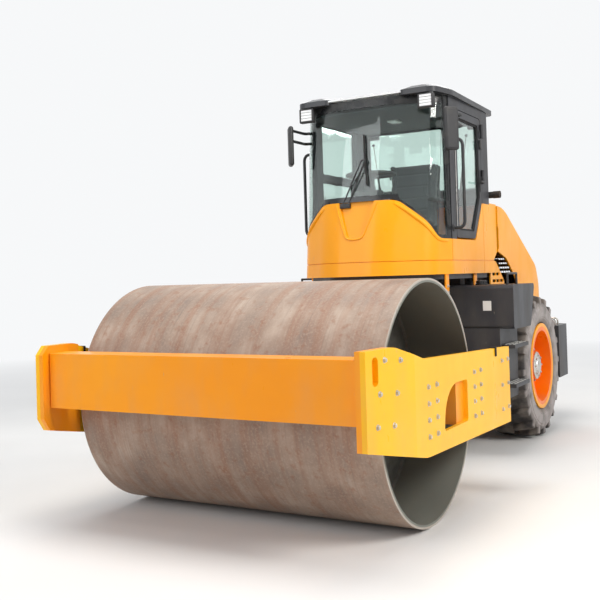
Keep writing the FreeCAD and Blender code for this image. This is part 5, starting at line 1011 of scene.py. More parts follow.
@dataclass
class Wheel:
    """A rear wheel: a lugged tyre over the CAD ring, with its hub, nuts and side ring."""

    side: Side
    axle_x: float = -1.5
    axle_z: float = 0.65
    track_half: float = 0.73
    radius: float = 0.65
    width: float = 0.44
    rim_radius: float = 0.385
    seat_radius: float = 0.3433
    lug_count: int = 20
    lug_height: float = 0.054
    lug_width: float = 0.066
    lug_slant: float = 0.120
    stud_count: int = 12
    stud_ring: float = 0.163

    @property
    def centre(self) -> Vector:
        """The wheel's middle."""
        return self.side.at(self.axle_x, self.track_half, self.axle_z)

    def carcass(self) -> Piece:
        """The tyre's body with its bead, sidewall ribs and shoulders."""
        half = self.width / 2
        tread = self.radius - self.lug_height
        wall = [
            (self.seat_radius, half - 0.034), (self.rim_radius + 0.006, half - 0.034),
            (self.rim_radius + 0.018, half - 0.020), (self.rim_radius + 0.045, half - 0.012),
            (self.rim_radius + 0.050, half - 0.008), (self.rim_radius + 0.062, half - 0.008),
            (self.rim_radius + 0.068, half - 0.003), (0.515, half), (0.530, half), (0.536, half - 0.005),
            (0.552, half - 0.006), (0.558, half - 0.012), (0.572, half - 0.017), (0.585, half - 0.030),
            (tread - 0.004, half - 0.050), (tread, half - 0.080), (tread + 0.004, 0.060), (tread + 0.006,
                                                                                           0.0),
        ]
        section = wall + [(radius, -along) for radius, along in reversed(wall[:-1])]
        return lathe("carcass", section, self.centre, LEFT, 120)

    def lug(self) -> Piece:
        """One tread lug at the wheel's top, wrapped round the tread and over the shoulder."""
        half = self.width / 2
        wide, slant = self.lug_width / 2, self.lug_slant / 2
        plan = [
            (-wide, half - 0.010), (wide, half - 0.010), (wide, half - 0.085), (wide + slant * 0.45, 0.075),
            (wide + slant, 0.010), (slant - wide, 0.010), (slant * 0.45 - wide, 0.075), (-wide,
                                                                                         half - 0.085),
        ]
        foot, top = self.radius - 0.105, self.radius - 0.003
        piece = outline([Vector((x, y, foot)) for x, y in plan], True)
        with shaping(piece, "FACE"):
            bpy.ops.mesh.extrude_region_move(TRANSFORM_OT_translate={"value": (0, 0, top - foot)})
            bpy.ops.transform.resize(value=(0.86, 0.975, 1.0))
            face_outward()
        bevelled(piece, 0.006, 2)
        for vertex in piece.data.vertices:
            x, y, z = vertex.co
            drop = max(0.0, abs(y) - (half - 0.075)) * 0.35
            angle = x / self.radius
            reach = z - drop
            vertex.co = (math.sin(angle) * reach, y, math.cos(angle) * reach)
        return piece

    def tyre(self) -> None:
        """The whole tyre, in place of the plain one."""
        model = self.lug()
        mirror = mirrored(model, "lug_mirror")
        parts = [self.carcass()]
        pitch = math.tau / self.lug_count
        for index in range(self.lug_count):
            for source, lead in ((model, 0.0), (mirror, pitch / 2)):
                twin = twin_of(source)
                turn = Matrix.Rotation(index * pitch + lead, 4, "Y")
                twin.data.transform(Matrix.Translation(self.centre) @ turn)
                parts.append(twin)
        bpy.data.objects.remove(model)
        bpy.data.objects.remove(mirror)
        whole = settle(joined("tyre_tread_" + self.side.word, parts), "tyre_tread_" + self.side.word, 40.0)
        dress(whole, TREAD_RUBBER, "wheel_" + self.side.word)
        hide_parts("tyre_" + self.side.word)

    def hub(self) -> None:
        """The hub's cover, the wheel nuts and the rim's side ring."""
        out = LEFT * self.side.value
        name = self.side.word
        nuts = ring_of(self.centre + out * 0.082, out, self.stud_ring, self.stud_count)
        dress(bolt_row(nuts, 0.0165, 0.026, "wheel_nuts_" + name), BRIGHT_STEEL, "wheel_" + name)
        cover = lathe("hub_cover_" + name, mm(0, 150, 124, 150, 124, 158, 112, 166, 70, 168, 62, 178, 0,
                                              180), self.centre, out, 48)
        dress(cover, BRIGHT_STEEL, "wheel_" + name)
        caps = ring_of(self.centre + out * 0.166, out, 0.092, 8)
        dress(bolt_row(caps, 0.009, 0.010, "hub_bolts_" + name), BRIGHT_STEEL, "wheel_" + name)
        ring = lathe("rim_ring_" + name, mm(352, 186, 386, 186, 392, 196, 390, 207, 380, 210, 360, 207, 352,
                                            200), self.centre, out, 96)
        dress(ring, YELLOW, "wheel_" + name)

    def build(self) -> None:
        """Builds the wheel."""
        self.tyre()
        self.hub()


@dataclass
class CabGlazing:
    """The windshield's baked band, the apron's raised lines, the seals, the wiper and the gas struts."""

    band_sill: float = 0.030
    band_slope: float = 0.018
    band_apron: float = 0.042
    band_lift: float = 0.0015
    corner: tuple[float, float] = (0.15, 1.802)
    apron: tuple[float, float] = (0.34, 2.112)
    scoop: tuple[tuple[float, float], ...] = mm(179, 2098, 143, 2000, 104, 1900, 82, 1842, 60, 1818, 28,
                                                1811)
    roll: tuple[tuple[float, float, float], ...] = (
        (-0.020, 1.786, 0.020), (0.060, 1.786, 0.006), (0.125, 1.790, 0.006), (0.170, 1.806, 0.006),
        (0.205, 1.850, 0.006), (0.250, 1.925, 0.006), (0.290, 1.990, 0.006), (0.322, 2.045, 0.010),
        (0.345, 2.082, 0.026))

    def strip(self, cuts: Sequence[tuple[Sequence[float], Sequence[float]]]) -> Piece:
        """The windshield behind all of some planes, each a point and the way that is cut off."""
        piece = taken("windshield")
        for point, way in cuts:
            with shaping(piece):
                bpy.ops.mesh.bisect(plane_co=point, plane_no=way, use_fill=True, clear_outer=True)
        return piece

    def band(self) -> None:
        """The black band round the windshield's edge."""
        (x0, z0), (x1, z1) = self.corner, self.apron
        slope = Vector((z0 - z1, 0.0, x1 - x0)).normalized()
        over = Vector((x0, 0.0, z0)) + slope * self.band_slope
        strips = [
            self.strip([((0.0, 0.0, z0 + self.band_sill), UP), ((x0 + 0.006, 0.0, 0.0), FRONT)]),
            self.strip([(over, slope), ((x1 + 0.002, 0.0, 0.0), FRONT), ((x0 - 0.004, 0.0, 0.0), -FRONT)]),
            self.strip([((0.0, 0.0, z1 + self.band_apron), UP), ((x1 - 0.016, 0.0, 0.0), -FRONT)]),
            self.strip([((0.020, 0.0, 0.0), FRONT), ((0.0, 0.0, z0 + self.band_sill - 0.004), -UP)]),
            self.strip([((0.0, 0.0, 2.885), -UP), ((0.016, 0.0, 0.0), -FRONT)]),
        ]
        whole = joined("windshield_band", strips)
        with shaping(whole):
            bpy.ops.mesh.remove_doubles(threshold=MERGE_DISTANCE)
            bpy.ops.mesh.select_all(action="SELECT")
            bpy.ops.transform.shrink_fatten(value=self.band_lift)
        dress(settle(whole, "windshield_band"), BAKED_BAND)

    def seal(self, name: str, node: str, way: Vector, width: float, depth: float, body: str) -> None:
        """A rubber seal on the outer face of a flat pane, along its outline."""
        piece = taken(node)
        with shaping(piece, "FACE"):
            bpy.ops.mesh.select_all(action="DESELECT")
        for face in piece.data.polygons:
            face.select = face.normal.dot(way) < 0.99
        with keeping(piece, "FACE"):
            bpy.ops.mesh.delete(type="FACE")
            bpy.ops.mesh.select_all(action="SELECT")
            bpy.ops.mesh.dissolve_limited(angle_limit=0.01)
            bpy.ops.mesh.select_all(action="SELECT")
            bpy.ops.mesh.inset(thickness=width, use_boundary=True)
            bpy.ops.mesh.delete(type="FACE")
            bpy.ops.mesh.select_all(action="SELECT")
            bpy.ops.mesh.extrude_region_move(TRANSFORM_OT_translate={"value": way * depth})
            face_outward()
        dress(settle(bevelled(piece, depth * 0.25), name), SEAL_RUBBER, body)

    def on_glass(self, y: float, z: float, lift: float) -> Vector:
        """A place in front of the windshield's face."""
        return touch("windshield", (2.0, y, z), -FRONT) + FRONT * lift

    def wiper(self) -> None:
        """The wiper at rest: two arms side by side and a blade across their end."""
        foot = touch("cab_apron", (2.0, -0.100, 2.085), -FRONT) + FRONT * 0.012
        head = self.on_glass(0.055, 2.44, 0.034)
        arms = [pipe("arm", [foot + LEFT * gap, head + LEFT * gap * 0.6], 0.006, 0.0) for gap in (-0.026,
                                                                                                  0.026)]
        link = pipe("link", [head + LEFT * -0.022, head + LEFT * 0.022], 0.007, 0.0)
        base = bar("base", foot + Vector((-0.030, -0.045, -0.020)), foot + Vector((0.012, 0.045, 0.020)),
                   0.006, 3)
        knobs = copies("knob", lathe("knob", mm(0, 0, 14, 0, 14, 8, 9, 13, 0, 14),
                                     Vector(), UP, 20), [(foot + LEFT * gap, FRONT) for gap in (-0.026,
                                                                                                0.026)])
        fit("wiper_arms", arms + [link, base, knobs], BLACK_PLASTIC)
        ends = [self.on_glass(y, z, 0.014) for y, z in ((0.095, 2.235), (0.062, 2.43), (0.040, 2.65))]
        blade = pipe("blade", ends, 0.007, 0.05)
        spine = pipe("spine", [point + FRONT * 0.012 for point in ends], 0.004, 0.05)
        fit("wiper_blade", [blade, spine], SEAL_RUBBER)

    def struts(self) -> None:
        """The gas struts that hold the rear window."""
        tubes, rods = [], []
        for side in Side:
            low, high = side.at(-0.945, 0.375, 2.16), side.at(-0.955, 0.455, 2.76)
            middle = low.lerp(high, 0.52)
            tubes.append(pipe("tube", [low, middle], 0.010, 0.0))
            rods.append(pipe("rod", [middle, high], 0.004, 0.0))
            for place in (low, high):
                tubes.append(lathe("ball", mm(0, -12, 10, -10, 14, 0, 10, 10, 0, 12),
                                   place, FRONT, 20))
        fit("window_strut_tubes", tubes, BLACK_PLASTIC)
        fit("window_strut_rods", rods, BRIGHT_STEEL)

    def apron_lines(self) -> None:
        """The raised lip round the apron's scoop and the rolled edge up each side of the apron."""
        half = [touch("cab_apron", (2.0, y, z), -FRONT) + FRONT * 0.001 for y, z in self.scoop]
        lip = pipe("apron_lip", half + [Vector((p.x, -p.y, p.z)) for p in reversed(half)], 0.006, 0.02)
        dress(lip, YELLOW)
        route = [touch("cab_apron", (x, 2.0, z), -LEFT) - LEFT * sunk for x, z, sunk in self.roll]
        both_sides(pipe("apron_roll", route, 0.017, 0.03), YELLOW)

    def build(self) -> None:
        """Builds the glazing's fittings."""
        self.band()
        self.apron_lines()
        self.seal("door_glass_seal", "door_glass", LEFT, 0.016, 0.008, "door")
        self.seal("side_window_seals", "right_windows", -LEFT, 0.016, 0.010, "rear_frame")
        self.seal("rear_window_seal", "rear_window", -FRONT, 0.020, 0.010, "rear_frame")
        self.wiper()
        self.struts()


@dataclass
class CabFittings:
    """Work lamps, mirrors, handles and small parts on the cab's outside, and the headliner."""

    half: float = 0.63
    pillar_x: float = -0.04
    lamp_width: float = 0.135
    lamp_depth: float = 0.050
    lamp_low: float = 2.825
    lamp_top: float = 2.950
    lamps: tuple[tuple[float, float, int], ...] = ((0.215, 0.465, 1), (-1.080, 0.440, -1))
    tube: float = 0.013
    mirror_x: float = 0.16
    mirror_y: float = 0.72
    mirror_bars: tuple[float, ...] = (2.79, 2.70)
    mirror_low: float = 2.48
    mirror_top: float = 2.82
    mirror_half: float = 0.064
    mirror_wall: float = 0.044
    mirror_turn: float = 55.0
    handle_x: float = -0.08
    handle_y: float = 0.725
    handle_z: tuple[float, float] = (1.89, 2.60)

    def work_lamps(self) -> None:
        """Square work lamps under the roof's corners, in place of the plain ones."""
        housings, lenses = [], []
        for x, y, way in self.lamps:
            back = x - self.lamp_depth * way
            for side in Side:
                corners = [side.at(0.0, y, 0.0).y, side.at(0.0, y + self.lamp_width, 0.0).y]
                low, high = min(corners), max(corners)
                shell = bar("shell", (min(x, back), low, self.lamp_low), (max(x, back), high,
                                                                          self.lamp_top - 0.004), 0.010, 3)
                only(shell)
                for face in shell.data.polygons:
                    face.select = face.normal.x * way > 0.99
                with keeping(shell, "FACE"):
                    bpy.ops.mesh.inset(thickness=0.004)
                    bpy.ops.mesh.inset(thickness=0.004, depth=-0.012)
                housings.append(shell)
                for row in range(4):
                    z0 = self.lamp_low + 0.016 + row * 0.024
                    face = x - 0.011 * way
                    lens = bar("lens", (min(face, face + 0.009 * way), low + 0.017, z0),
                               (max(face, face + 0.009 * way), high - 0.017, z0 + 0.0215), 0.003)
                    lenses.append(lens)
        fit("lamp_housings", housings, BLACK_PLASTIC)
        lens = fit("lamp_glasses", lenses, CLEAR_LENS)
        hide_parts("work_lamps")

    def mirrors(self) -> None:
        """Mirrors on two bent bars each, in place of the plain ones."""
        parts = []
        turn = Matrix.Rotation(math.radians(self.mirror_turn), 4, "Z")
        foot = self.pillar_x - 0.060
        for z in self.mirror_bars:
            parts.append(pipe("bar", [(foot, self.half - 0.005, z), (foot, self.mirror_y, z),
                                      (self.mirror_x, self.mirror_y, z)],
                              self.tube, 0.035))
            parts.append(lathe("flange", mm(0, 0, 26, 0, 26, 5, 16, 9, 0, 9),
                               Vector((foot, self.half - 0.0005, z)), LEFT, 28))
        height = (self.mirror_low + self.mirror_top) / 2
        tall, wide, wall = (self.mirror_top - self.mirror_low) / 2, self.mirror_half, self.mirror_wall / 2
        head = bar("head", (-wall, -wide, -tall), (wall, wide, tall), 0.022, 5)
        for face in head.data.polygons:
            face.select = face.normal.x < -0.99
        with keeping(head, "FACE"):
            bpy.ops.mesh.inset(thickness=0.003)
            bpy.ops.mesh.inset(thickness=0.002, depth=-0.004)
        place = Matrix.Translation((self.mirror_x, self.mirror_y, height)) @ turn
        parts.append(turned(head, place))
        glass = bar("mirror_glass", (-wall + 0.0005, -wide + 0.030, -tall + 0.030),
                    (-wall + 0.0035, wide - 0.030, tall - 0.030), 0.001)
        turned(glass, place)
        left = joined("mirror_arms", parts)
        housing = joined("mirror_housings", [left, mirrored(left, "mirror_twin")])
        dress(housing, BLACK_PLASTIC)
        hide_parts("mirrors")
        both_sides(glass, MIRROR)

    def handles(self) -> None:
        """Bent grab handles on round flanges, in place of the plain ones."""
        low, high = self.handle_z
        route = [(self.handle_x, self.half - 0.004, low), (self.handle_x, self.handle_y, low),
                 (self.handle_x, self.handle_y, high), (self.handle_x, self.half - 0.004, high)]
        parts = [pipe("tube", route, self.tube, 0.055)]
        for z in self.handle_z:
            parts.append(lathe("flange", mm(0, 0, 30, 0, 30, 5, 18, 10, 0, 10),
                               Vector((self.handle_x, self.half - 0.0005, z)), LEFT, 28))
        left = joined("handle_left", parts)
        whole = joined("handle_tubes", [left, mirrored(left, "handle_twin")])
        dress(whole, BLACK_PLASTIC)
        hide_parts("grab_handles")

    def door_parts(self) -> None:
        """The door's handle and latch and the bright trim on its front rail."""
        plate = bar("plate", (-0.812, self.half - 0.001, 2.235), (-0.776, self.half + 0.006, 2.345), 0.003)
        lever = pipe("lever", [(-0.794, self.half, 2.310), (-0.794, self.half + 0.034, 2.310),
                               (-0.700, self.half + 0.034, 2.310)], 0.009, 0.016)
        latch = bar("latch", (-0.815, self.half - 0.001, 2.60), (-0.775, self.half + 0.020, 2.68), 0.006, 3)
        fit("door_handle", [plate, lever, latch], BLACK_PLASTIC, "door")
        trim = bar("door_edge_trim", (-0.172, self.half - 0.001, 1.905), (-0.160, self.half + 0.004, 2.855),
                   0.0015)
        dress(trim, BRIGHT_STEEL, "door")

    def headliner(self) -> None:
        """The liner under the roof, with a rolled front edge and a lamp."""
        plan = mm(-955, -560, 0, -560, 130, -420, 130, 420, 0, 560, -955, 560)
        liner = slab("roof_liner", [Vector((x, y, 2.868)) for x, y in plan], UP * 0.016, 0.006, 3)
        dress(liner, HEADLINER)
        lamp = bar("cab_lamp", (-0.47, -0.045, 2.852), (-0.35, 0.045, 2.868), 0.006, 3)
        dress(lamp, CLEAR_LENS)

    def visor(self) -> None:
        """Ribs along the clear visor between the roof's lobes."""
        ribs = []
        for y in (-0.21, -0.07, 0.07, 0.21):
            top = touch("roof_visor", (0.16, y, 3.2), -UP).z
            ribs.append(bar("rib", (0.118, y - 0.006, top - 0.002), (0.200, y + 0.006, top + 0.007), 0.003))
        fit("visor_ribs", ribs, VISOR_CLEAR)

    def build(self) -> None:
        """Builds all these fittings."""
        self.work_lamps()
        self.mirrors()
        self.handles()
        self.door_parts()
        self.headliner()
        self.visor()


@dataclass
class Seat:
    """The driver's seat: two padded cushions on a bellows base, with armrests."""

    half: float = 0.250
    cushion_x: tuple[float, float] = (-0.735, -0.340)
    cushion_z: tuple[float, float] = (1.850, 1.980)
    back_foot: tuple[float, float] = (-0.780, 1.935)
    back_head: tuple[float, float] = (-0.870, 2.535)
    back_wall: float = 0.110
    shrink: float = 0.008
    voxel: float = 0.006
    pressure: float = 4.0
    frames: int = 20
    cap: float = 0.012
    seam_depth: float = 0.007
    seam_width: float = 0.006

    def inflate(self, piece: Piece) -> None:
        """Lets a pad swell as cloth under pressure, no point further than the cap."""
        only(piece)
        remesh = piece.modifiers.new("skin", "REMESH")
        remesh.mode = "VOXEL"
        remesh.voxel_size = self.voxel
        bpy.ops.object.modifier_apply(modifier=remesh.name)
        cloth = piece.modifiers.new("cloth", "CLOTH")
        cloth.settings.use_pressure = True
        cloth.settings.uniform_pressure_force = self.pressure
        cloth.settings.effector_weights.gravity = 0.0
        cloth.settings.quality = 4
        cloth.point_cache.frame_start = 1
        cloth.point_cache.frame_end = self.frames
        for step in range(1, self.frames + 1):
            bpy.context.scene.frame_set(step)
        shaped = piece.evaluated_get(bpy.context.evaluated_depsgraph_get()).data
        swollen = [vertex.co.copy() for vertex in shaped.vertices]
        piece.modifiers.remove(cloth)
        bpy.context.scene.frame_set(1)
        for vertex, goal in zip(piece.data.vertices, swollen):
            move = goal - vertex.co
            if move.length > self.cap:
                move *= self.cap / move.length
            vertex.co = vertex.co + move

    def sew(self, piece: Piece, across: Sequence[float], along: float, reach: float) -> None:
        """Draws the sewn channels into a lying pad's top."""
        for vertex in piece.data.vertices:
            x, y, z = vertex.co
            if z < 0.0:
                continue
            pull = 0.0
            if abs(y) < along:
                pull = max((math.exp(-((x - place) / self.seam_width) ** 2) for place in across),
                           default=0.0)
            if abs(x) < reach:
                pull = max(pull, math.exp(-((abs(y) - along) / self.seam_width) ** 2))
            vertex.co.z = z - self.seam_depth * pull

    def pad(self, name: str, length: float, width: float, wall: float, across: Sequence[float]) -> Piece:
        """A padded block that lies at the origin with its length along X."""
        gap = self.shrink
        low = (-length / 2 + gap, -width / 2 + gap, -wall / 2 + gap)
        high = (length / 2 - gap, width / 2 - gap, wall / 2 - gap)
        piece = bar(name, low, high, wall * 0.30, 5)
        for vertex in piece.data.vertices:
            x, y, z = vertex.co
            if z > 0.0:
                hollow = (1.0 - min(1.0, abs(y) / (width * 0.36)) ** 2) * 0.016
                vertex.co.z = z - max(0.0, hollow)
        self.inflate(piece)
        self.sew(piece, across, width * 0.33, length * 0.44)
        only(piece)
        finer = piece.modifiers.new("finer", "SUBSURF")
        finer.levels = finer.render_levels = 1
        bpy.ops.object.modifier_apply(modifier=finer.name)
        bpy.ops.object.shade_smooth()
        return piece

    def cushions(self) -> None:
        """The seat cushion and the backrest."""
        (x0, x1), (z0, z1) = self.cushion_x, self.cushion_z
        cushion = self.pad("seat_cushion", x1 - x0, 2 * self.half, z1 - z0, (-0.09, 0.0, 0.09))
        turned(cushion, Matrix.Translation(((x0 + x1) / 2, 0.0, (z0 + z1) / 2)))
        foot = Vector((self.back_foot[0], 0.0, self.back_foot[1]))
        head = Vector((self.back_head[0], 0.0, self.back_head[1]))
        rise = head - foot
        backrest = self.pad("seat_backrest", rise.length, 2 * self.half - 0.02, self.back_wall,
                            (-0.14, -0.03, 0.08, 0.19))
        up = rise.normalized()
        side = -LEFT
        front = up.cross(side)
        place = Matrix((up, side, front)).transposed().to_4x4()
        turned(backrest, Matrix.Translation((foot + head) / 2) @ place)
        for piece in (cushion, backrest):
            piece.data.name = piece.name
            dress(piece, SEAT_CLOTH)
        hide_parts("seat")

    def carrier(self) -> None:
        """The bellows, the pan, the back shell and the armrests."""
        folds = [bar("fold", (-0.745 + inset, -0.175 + inset, 1.552 + row * 0.034),
                     (-0.385 - inset, 0.175 - inset, 1.584 + row * 0.034),
                     0.010, 3) for row, inset in enumerate((0.0, 0.012, 0.0, 0.012, 0.0, 0.012, 0.0, 0.012))]
        fit("seat_bellows", folds, SEAL_RUBBER)
        pan = bar("pan", (-0.790, -0.235, 1.822), (-0.350, 0.235, 1.852), 0.010, 3)
        shell = slab("shell", [Vector(p) for p in (
            (-0.842, -0.215, 1.842), (-0.930, -0.215, 2.500), (-0.942, -0.190, 2.520), (-0.942, 0.190,
                                                                                        2.520),
            (-0.930, 0.215, 2.500), (-0.842, 0.215, 1.842))], Vector((0.014, 0.0, 0.002)), 0.004)
        arms = []
        for side in Side:
            arms.append(bar("arm", *corners(side, (-0.800, 0.262, 2.150), (-0.470, 0.318, 2.190)), 0.016, 4))
            arms.append(bar("post", *corners(side, (-0.835, 0.240, 2.140), (-0.790, 0.300, 2.185)), 0.006))
        fit("seat_shell", [pan, shell] + arms, BLACK_PLASTIC)

    def build(self) -> None:
        """Builds the seat."""
        self.cushions()
        self.carrier()


@dataclass
class Controls:
    """The dash pod, the steering wheel's hub, the side pod and its levers."""

    column_x: float = 0.11
    wheel_z: float = 2.35

    def dash(self) -> None:
        """The instrument pod behind the steering wheel with three round gauges."""
        pod = bar("dash_pod", (0.150, -0.130, 2.090), (0.215, 0.130, 2.215), 0.016, 4)
        dress(pod, BLACK_PLASTIC)
        faces, rims = [], []
        for y, radius in ((-0.075, 0.030), (0.0, 0.036), (0.075, 0.030)):
            centre = Vector((0.1505, y, 2.155))
            rims.append(lathe("rim", [(radius, 0.0), (radius + 0.005, 0.0), (radius + 0.005, 0.006),
                                      (radius, 0.008)],
                              centre, -FRONT, 36))
            faces.append(lathe("face", [(0.0, 0.001), (radius, 0.001), (radius, 0.003), (0.0, 0.003)],
                               centre, -FRONT, 36))
            faces.append(bar("hand", (0.1450, y - 0.001, 2.155), (0.1462, y + 0.001, 2.155 + radius * 0.7),
                             0.0))
        fit("gauge_rims", rims, BRIGHT_STEEL)
        fit("gauge_faces", faces, WHITE_PLATE)

    def steering_wheel(self) -> None:
        """The wheel's hub, the column's boot and the knob on the rim."""
        centre = Vector((self.column_x, 0.0, self.wheel_z))
        hub = lathe("hub", mm(0, -30, 36, -30, 52, -8, 56, 10, 46, 22, 0, 26),
                    centre, UP, 40)
        knob_place = centre + Vector((-0.120, 0.147, 0.012))
        knob = lathe("knob", mm(0, 0, 10, 0, 10, 18, 22, 24, 24, 40, 14, 52, 0, 54),
                     knob_place, UP, 28)
        boot = lathe("boot", mm(0, -240, 75, -240, 70, -205, 52, -180, 50, -160, 38, -130, 36, -100, 0,
                                -100), centre, UP, 40)
        fit("steering_hub", [hub, knob, boot], BLACK_PLASTIC)

    def side_pod(self) -> None:
        """The pod beside the seat with its travel lever, switches and knob."""
        pod = bar("control_pod", (-0.700, -0.470, 1.560), (-0.180, -0.345, 1.965), 0.022, 4)
        dress(pod, GREY_PLASTIC)
        stick = pipe("stick", [(-0.330, -0.405, 1.962), (-0.315, -0.405, 2.080), (-0.325, -0.400, 2.150)],
                     0.007, 0.03)
        grip = lathe("grip", mm(0, 0, 14, 0, 20, 20, 24, 50, 18, 66, 0, 70),
                     Vector((-0.325, -0.400, 2.140)), UP, 28)
        gaiter = lathe("gaiter", mm(0, 0, 40, 0, 36, 10, 40, 14, 28, 26, 32, 30, 18, 44, 0, 46),
                       Vector((-0.330, -0.405, 1.962)), UP, 32)
        fit("travel_lever", [stick, grip, gaiter], BLACK_PLASTIC)
        switches = [bar("switch", (-0.640 + i * 0.045, -0.430, 1.963), (-0.610 + i * 0.045, -0.385, 1.974),
                        0.003)
                    for i in range(5)]
        fit("pod_switches", switches, BLACK_PLASTIC)

    def build(self) -> None:
        """Builds the controls."""
        self.dash()
        self.steering_wheel()
        self.side_pod()


@dataclass
class CabUnderside:
    """The cab's mounts, the filters' heads and the hard pipes under the floor."""

    def mounts(self) -> None:
        """Orange brackets with rubber blocks at the deck's corners."""
        brackets, blocks = [], []
        for side in Side:
            for x in (-0.005, -0.700):
                plan = [(x, 0.592, 1.520), (x + 0.075, 0.592, 1.520), (x + 0.075, 0.592, 1.36),
                        (x + 0.055, 0.592, 1.33),
                        (x + 0.020, 0.592, 1.33), (x, 0.592, 1.36)]
                brackets.append(slab("bracket", [side.at(*p) for p in plan], side.at(0.0, 0.012, 0.0),
                                     0.002))
                blocks.append(lathe("block", mm(0, 0, 30, 0, 36, 12, 30, 30, 0, 30),
                                    side.at(x + 0.038, 0.560, 1.449), UP, 28))
        fit("cab_brackets", brackets, ORANGE)
        fit("cab_rubbers", blocks, SEAL_RUBBER)
        places = [(side.at(x + 0.038, 0.604, z), LEFT * side.value) for side in Side for x in (-0.005,
                                                                                               -0.700)
                  for z in (1.375, 1.425)]
        dress(bolt_row(places, 0.011, 0.010, "cab_bracket_bolts"), BRIGHT_STEEL)

    def filters(self) -> None:
        """The filters' heads, their rims and the hard pipes under the cab."""
        heads, pipes = [], []
        for y in (0.06, -0.15):
            foot = Vector((0.108, y, 1.438))
            heads.append(lathe("head", mm(0, 0, 54, 0, 54, 18, 40, 30, 0, 30), foot, UP, 40))
            heads.append(lathe("rim", mm(48, -12, 52.5, -12, 52.5, 0, 48, 0), foot,
                               UP, 40))
            pipes.append(pipe("pipe", [(0.108, y, 1.462), (0.108, y + 0.060, 1.462), (0.030, y + 0.075,
                                                                                      1.462),
                                       (-0.120, y + 0.075, 1.462)], 0.009, 0.030))
        fit("filter_heads", heads, DARK_CASTING)
        for y, drop in mm(300, 0, 345, 18, -330, 0, -375, 20):
            pipes.append(pipe("pipe", [(-0.10, y, 1.474), (0.075, y, 1.450 - drop), (0.085, y, 1.30),
                                       (0.02, y * 0.92, 1.13),
                                       (-0.30, y * 0.90, 1.08)], 0.010, 0.05))
        fit("cab_pipes", pipes, DARK_CASTING)

    def build(self) -> None:
        """Builds what hangs under the cab."""
        self.mounts()
        self.filters()


@dataclass
class Tanks:
    """Caps, blank plates and tread studs on the side tanks and their steps."""

    top: float = 1.42
    cap_ribs: int = 8
    tread_columns: int = 12
    tread_rows: int = 3

    def plates(self) -> None:
        """Two blank plates: one facing forward on the left, one outward on the right."""
        front = touch("fuel_tank", (1.5, 0.80, 1.25), -FRONT)
        side = touch("hydraulic_tank", (-0.60, -2.0, 1.27), LEFT)
        dress(bar("left_tank_plate", front + Vector((-0.0005, -0.035, -0.040)),
                  front + Vector((0.002, 0.035, 0.040)), 0.001),
              WHITE_PLATE)
        dress(bar("right_tank_plate", side + Vector((-0.040, -0.002, -0.035)),
                  side + Vector((0.040, 0.0005, 0.035)), 0.001),
              WHITE_PLATE)

    def caps(self) -> None:
        """Screwed filler caps."""
        section = mm(0, 0, 52, 0, 52, 10, 44, 12, 44, 34, 38, 40, 0, 41)
        made = []
        for side in Side:
            centre = side.at(-0.52, 0.70, self.top - 0.001)
            made.append(lathe("cap", section, centre, UP, 40))
            for index in range(self.cap_ribs):
                angle = index * math.tau / self.cap_ribs
                place = centre + Vector((math.cos(angle), math.sin(angle), 0.0)) * 0.042
                made.append(bar("rib", place + Vector((-0.005, -0.005, 0.014)),
                                place + Vector((0.005, 0.005, 0.033)), 0.002))
        fit("filler_caps", made, BLACK_PLASTIC)

    def treads(self) -> None:
        """Raised studs on both steps of each side."""
        low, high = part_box("tank_steps")
        stud = lathe("stud", mm(0, -1, 8, -1, 5, 4, 0, 4), Vector(), UP, 8)
        places = []
        for z in (0.58, 0.90):
            for side in Side:
                top = touch("tank_steps", side.at((low.x + high.x) / 2, high.y - 0.04, z + 0.12), -UP).z
                for column in range(self.tread_columns):
                    for row in range(self.tread_rows):
                        x = low.x + 0.030 + column * (high.x - low.x - 0.060) / (self.tread_columns - 1)
                        places.append((side.at(x, high.y - 0.020 - row * 0.032, top), UP))
        dress(copies("step_studs", stud, places), BRIGHT_STEEL)

    def build(self) -> None:
        """Builds the tanks' fittings."""
        self.plates()
        self.caps()
        self.treads()


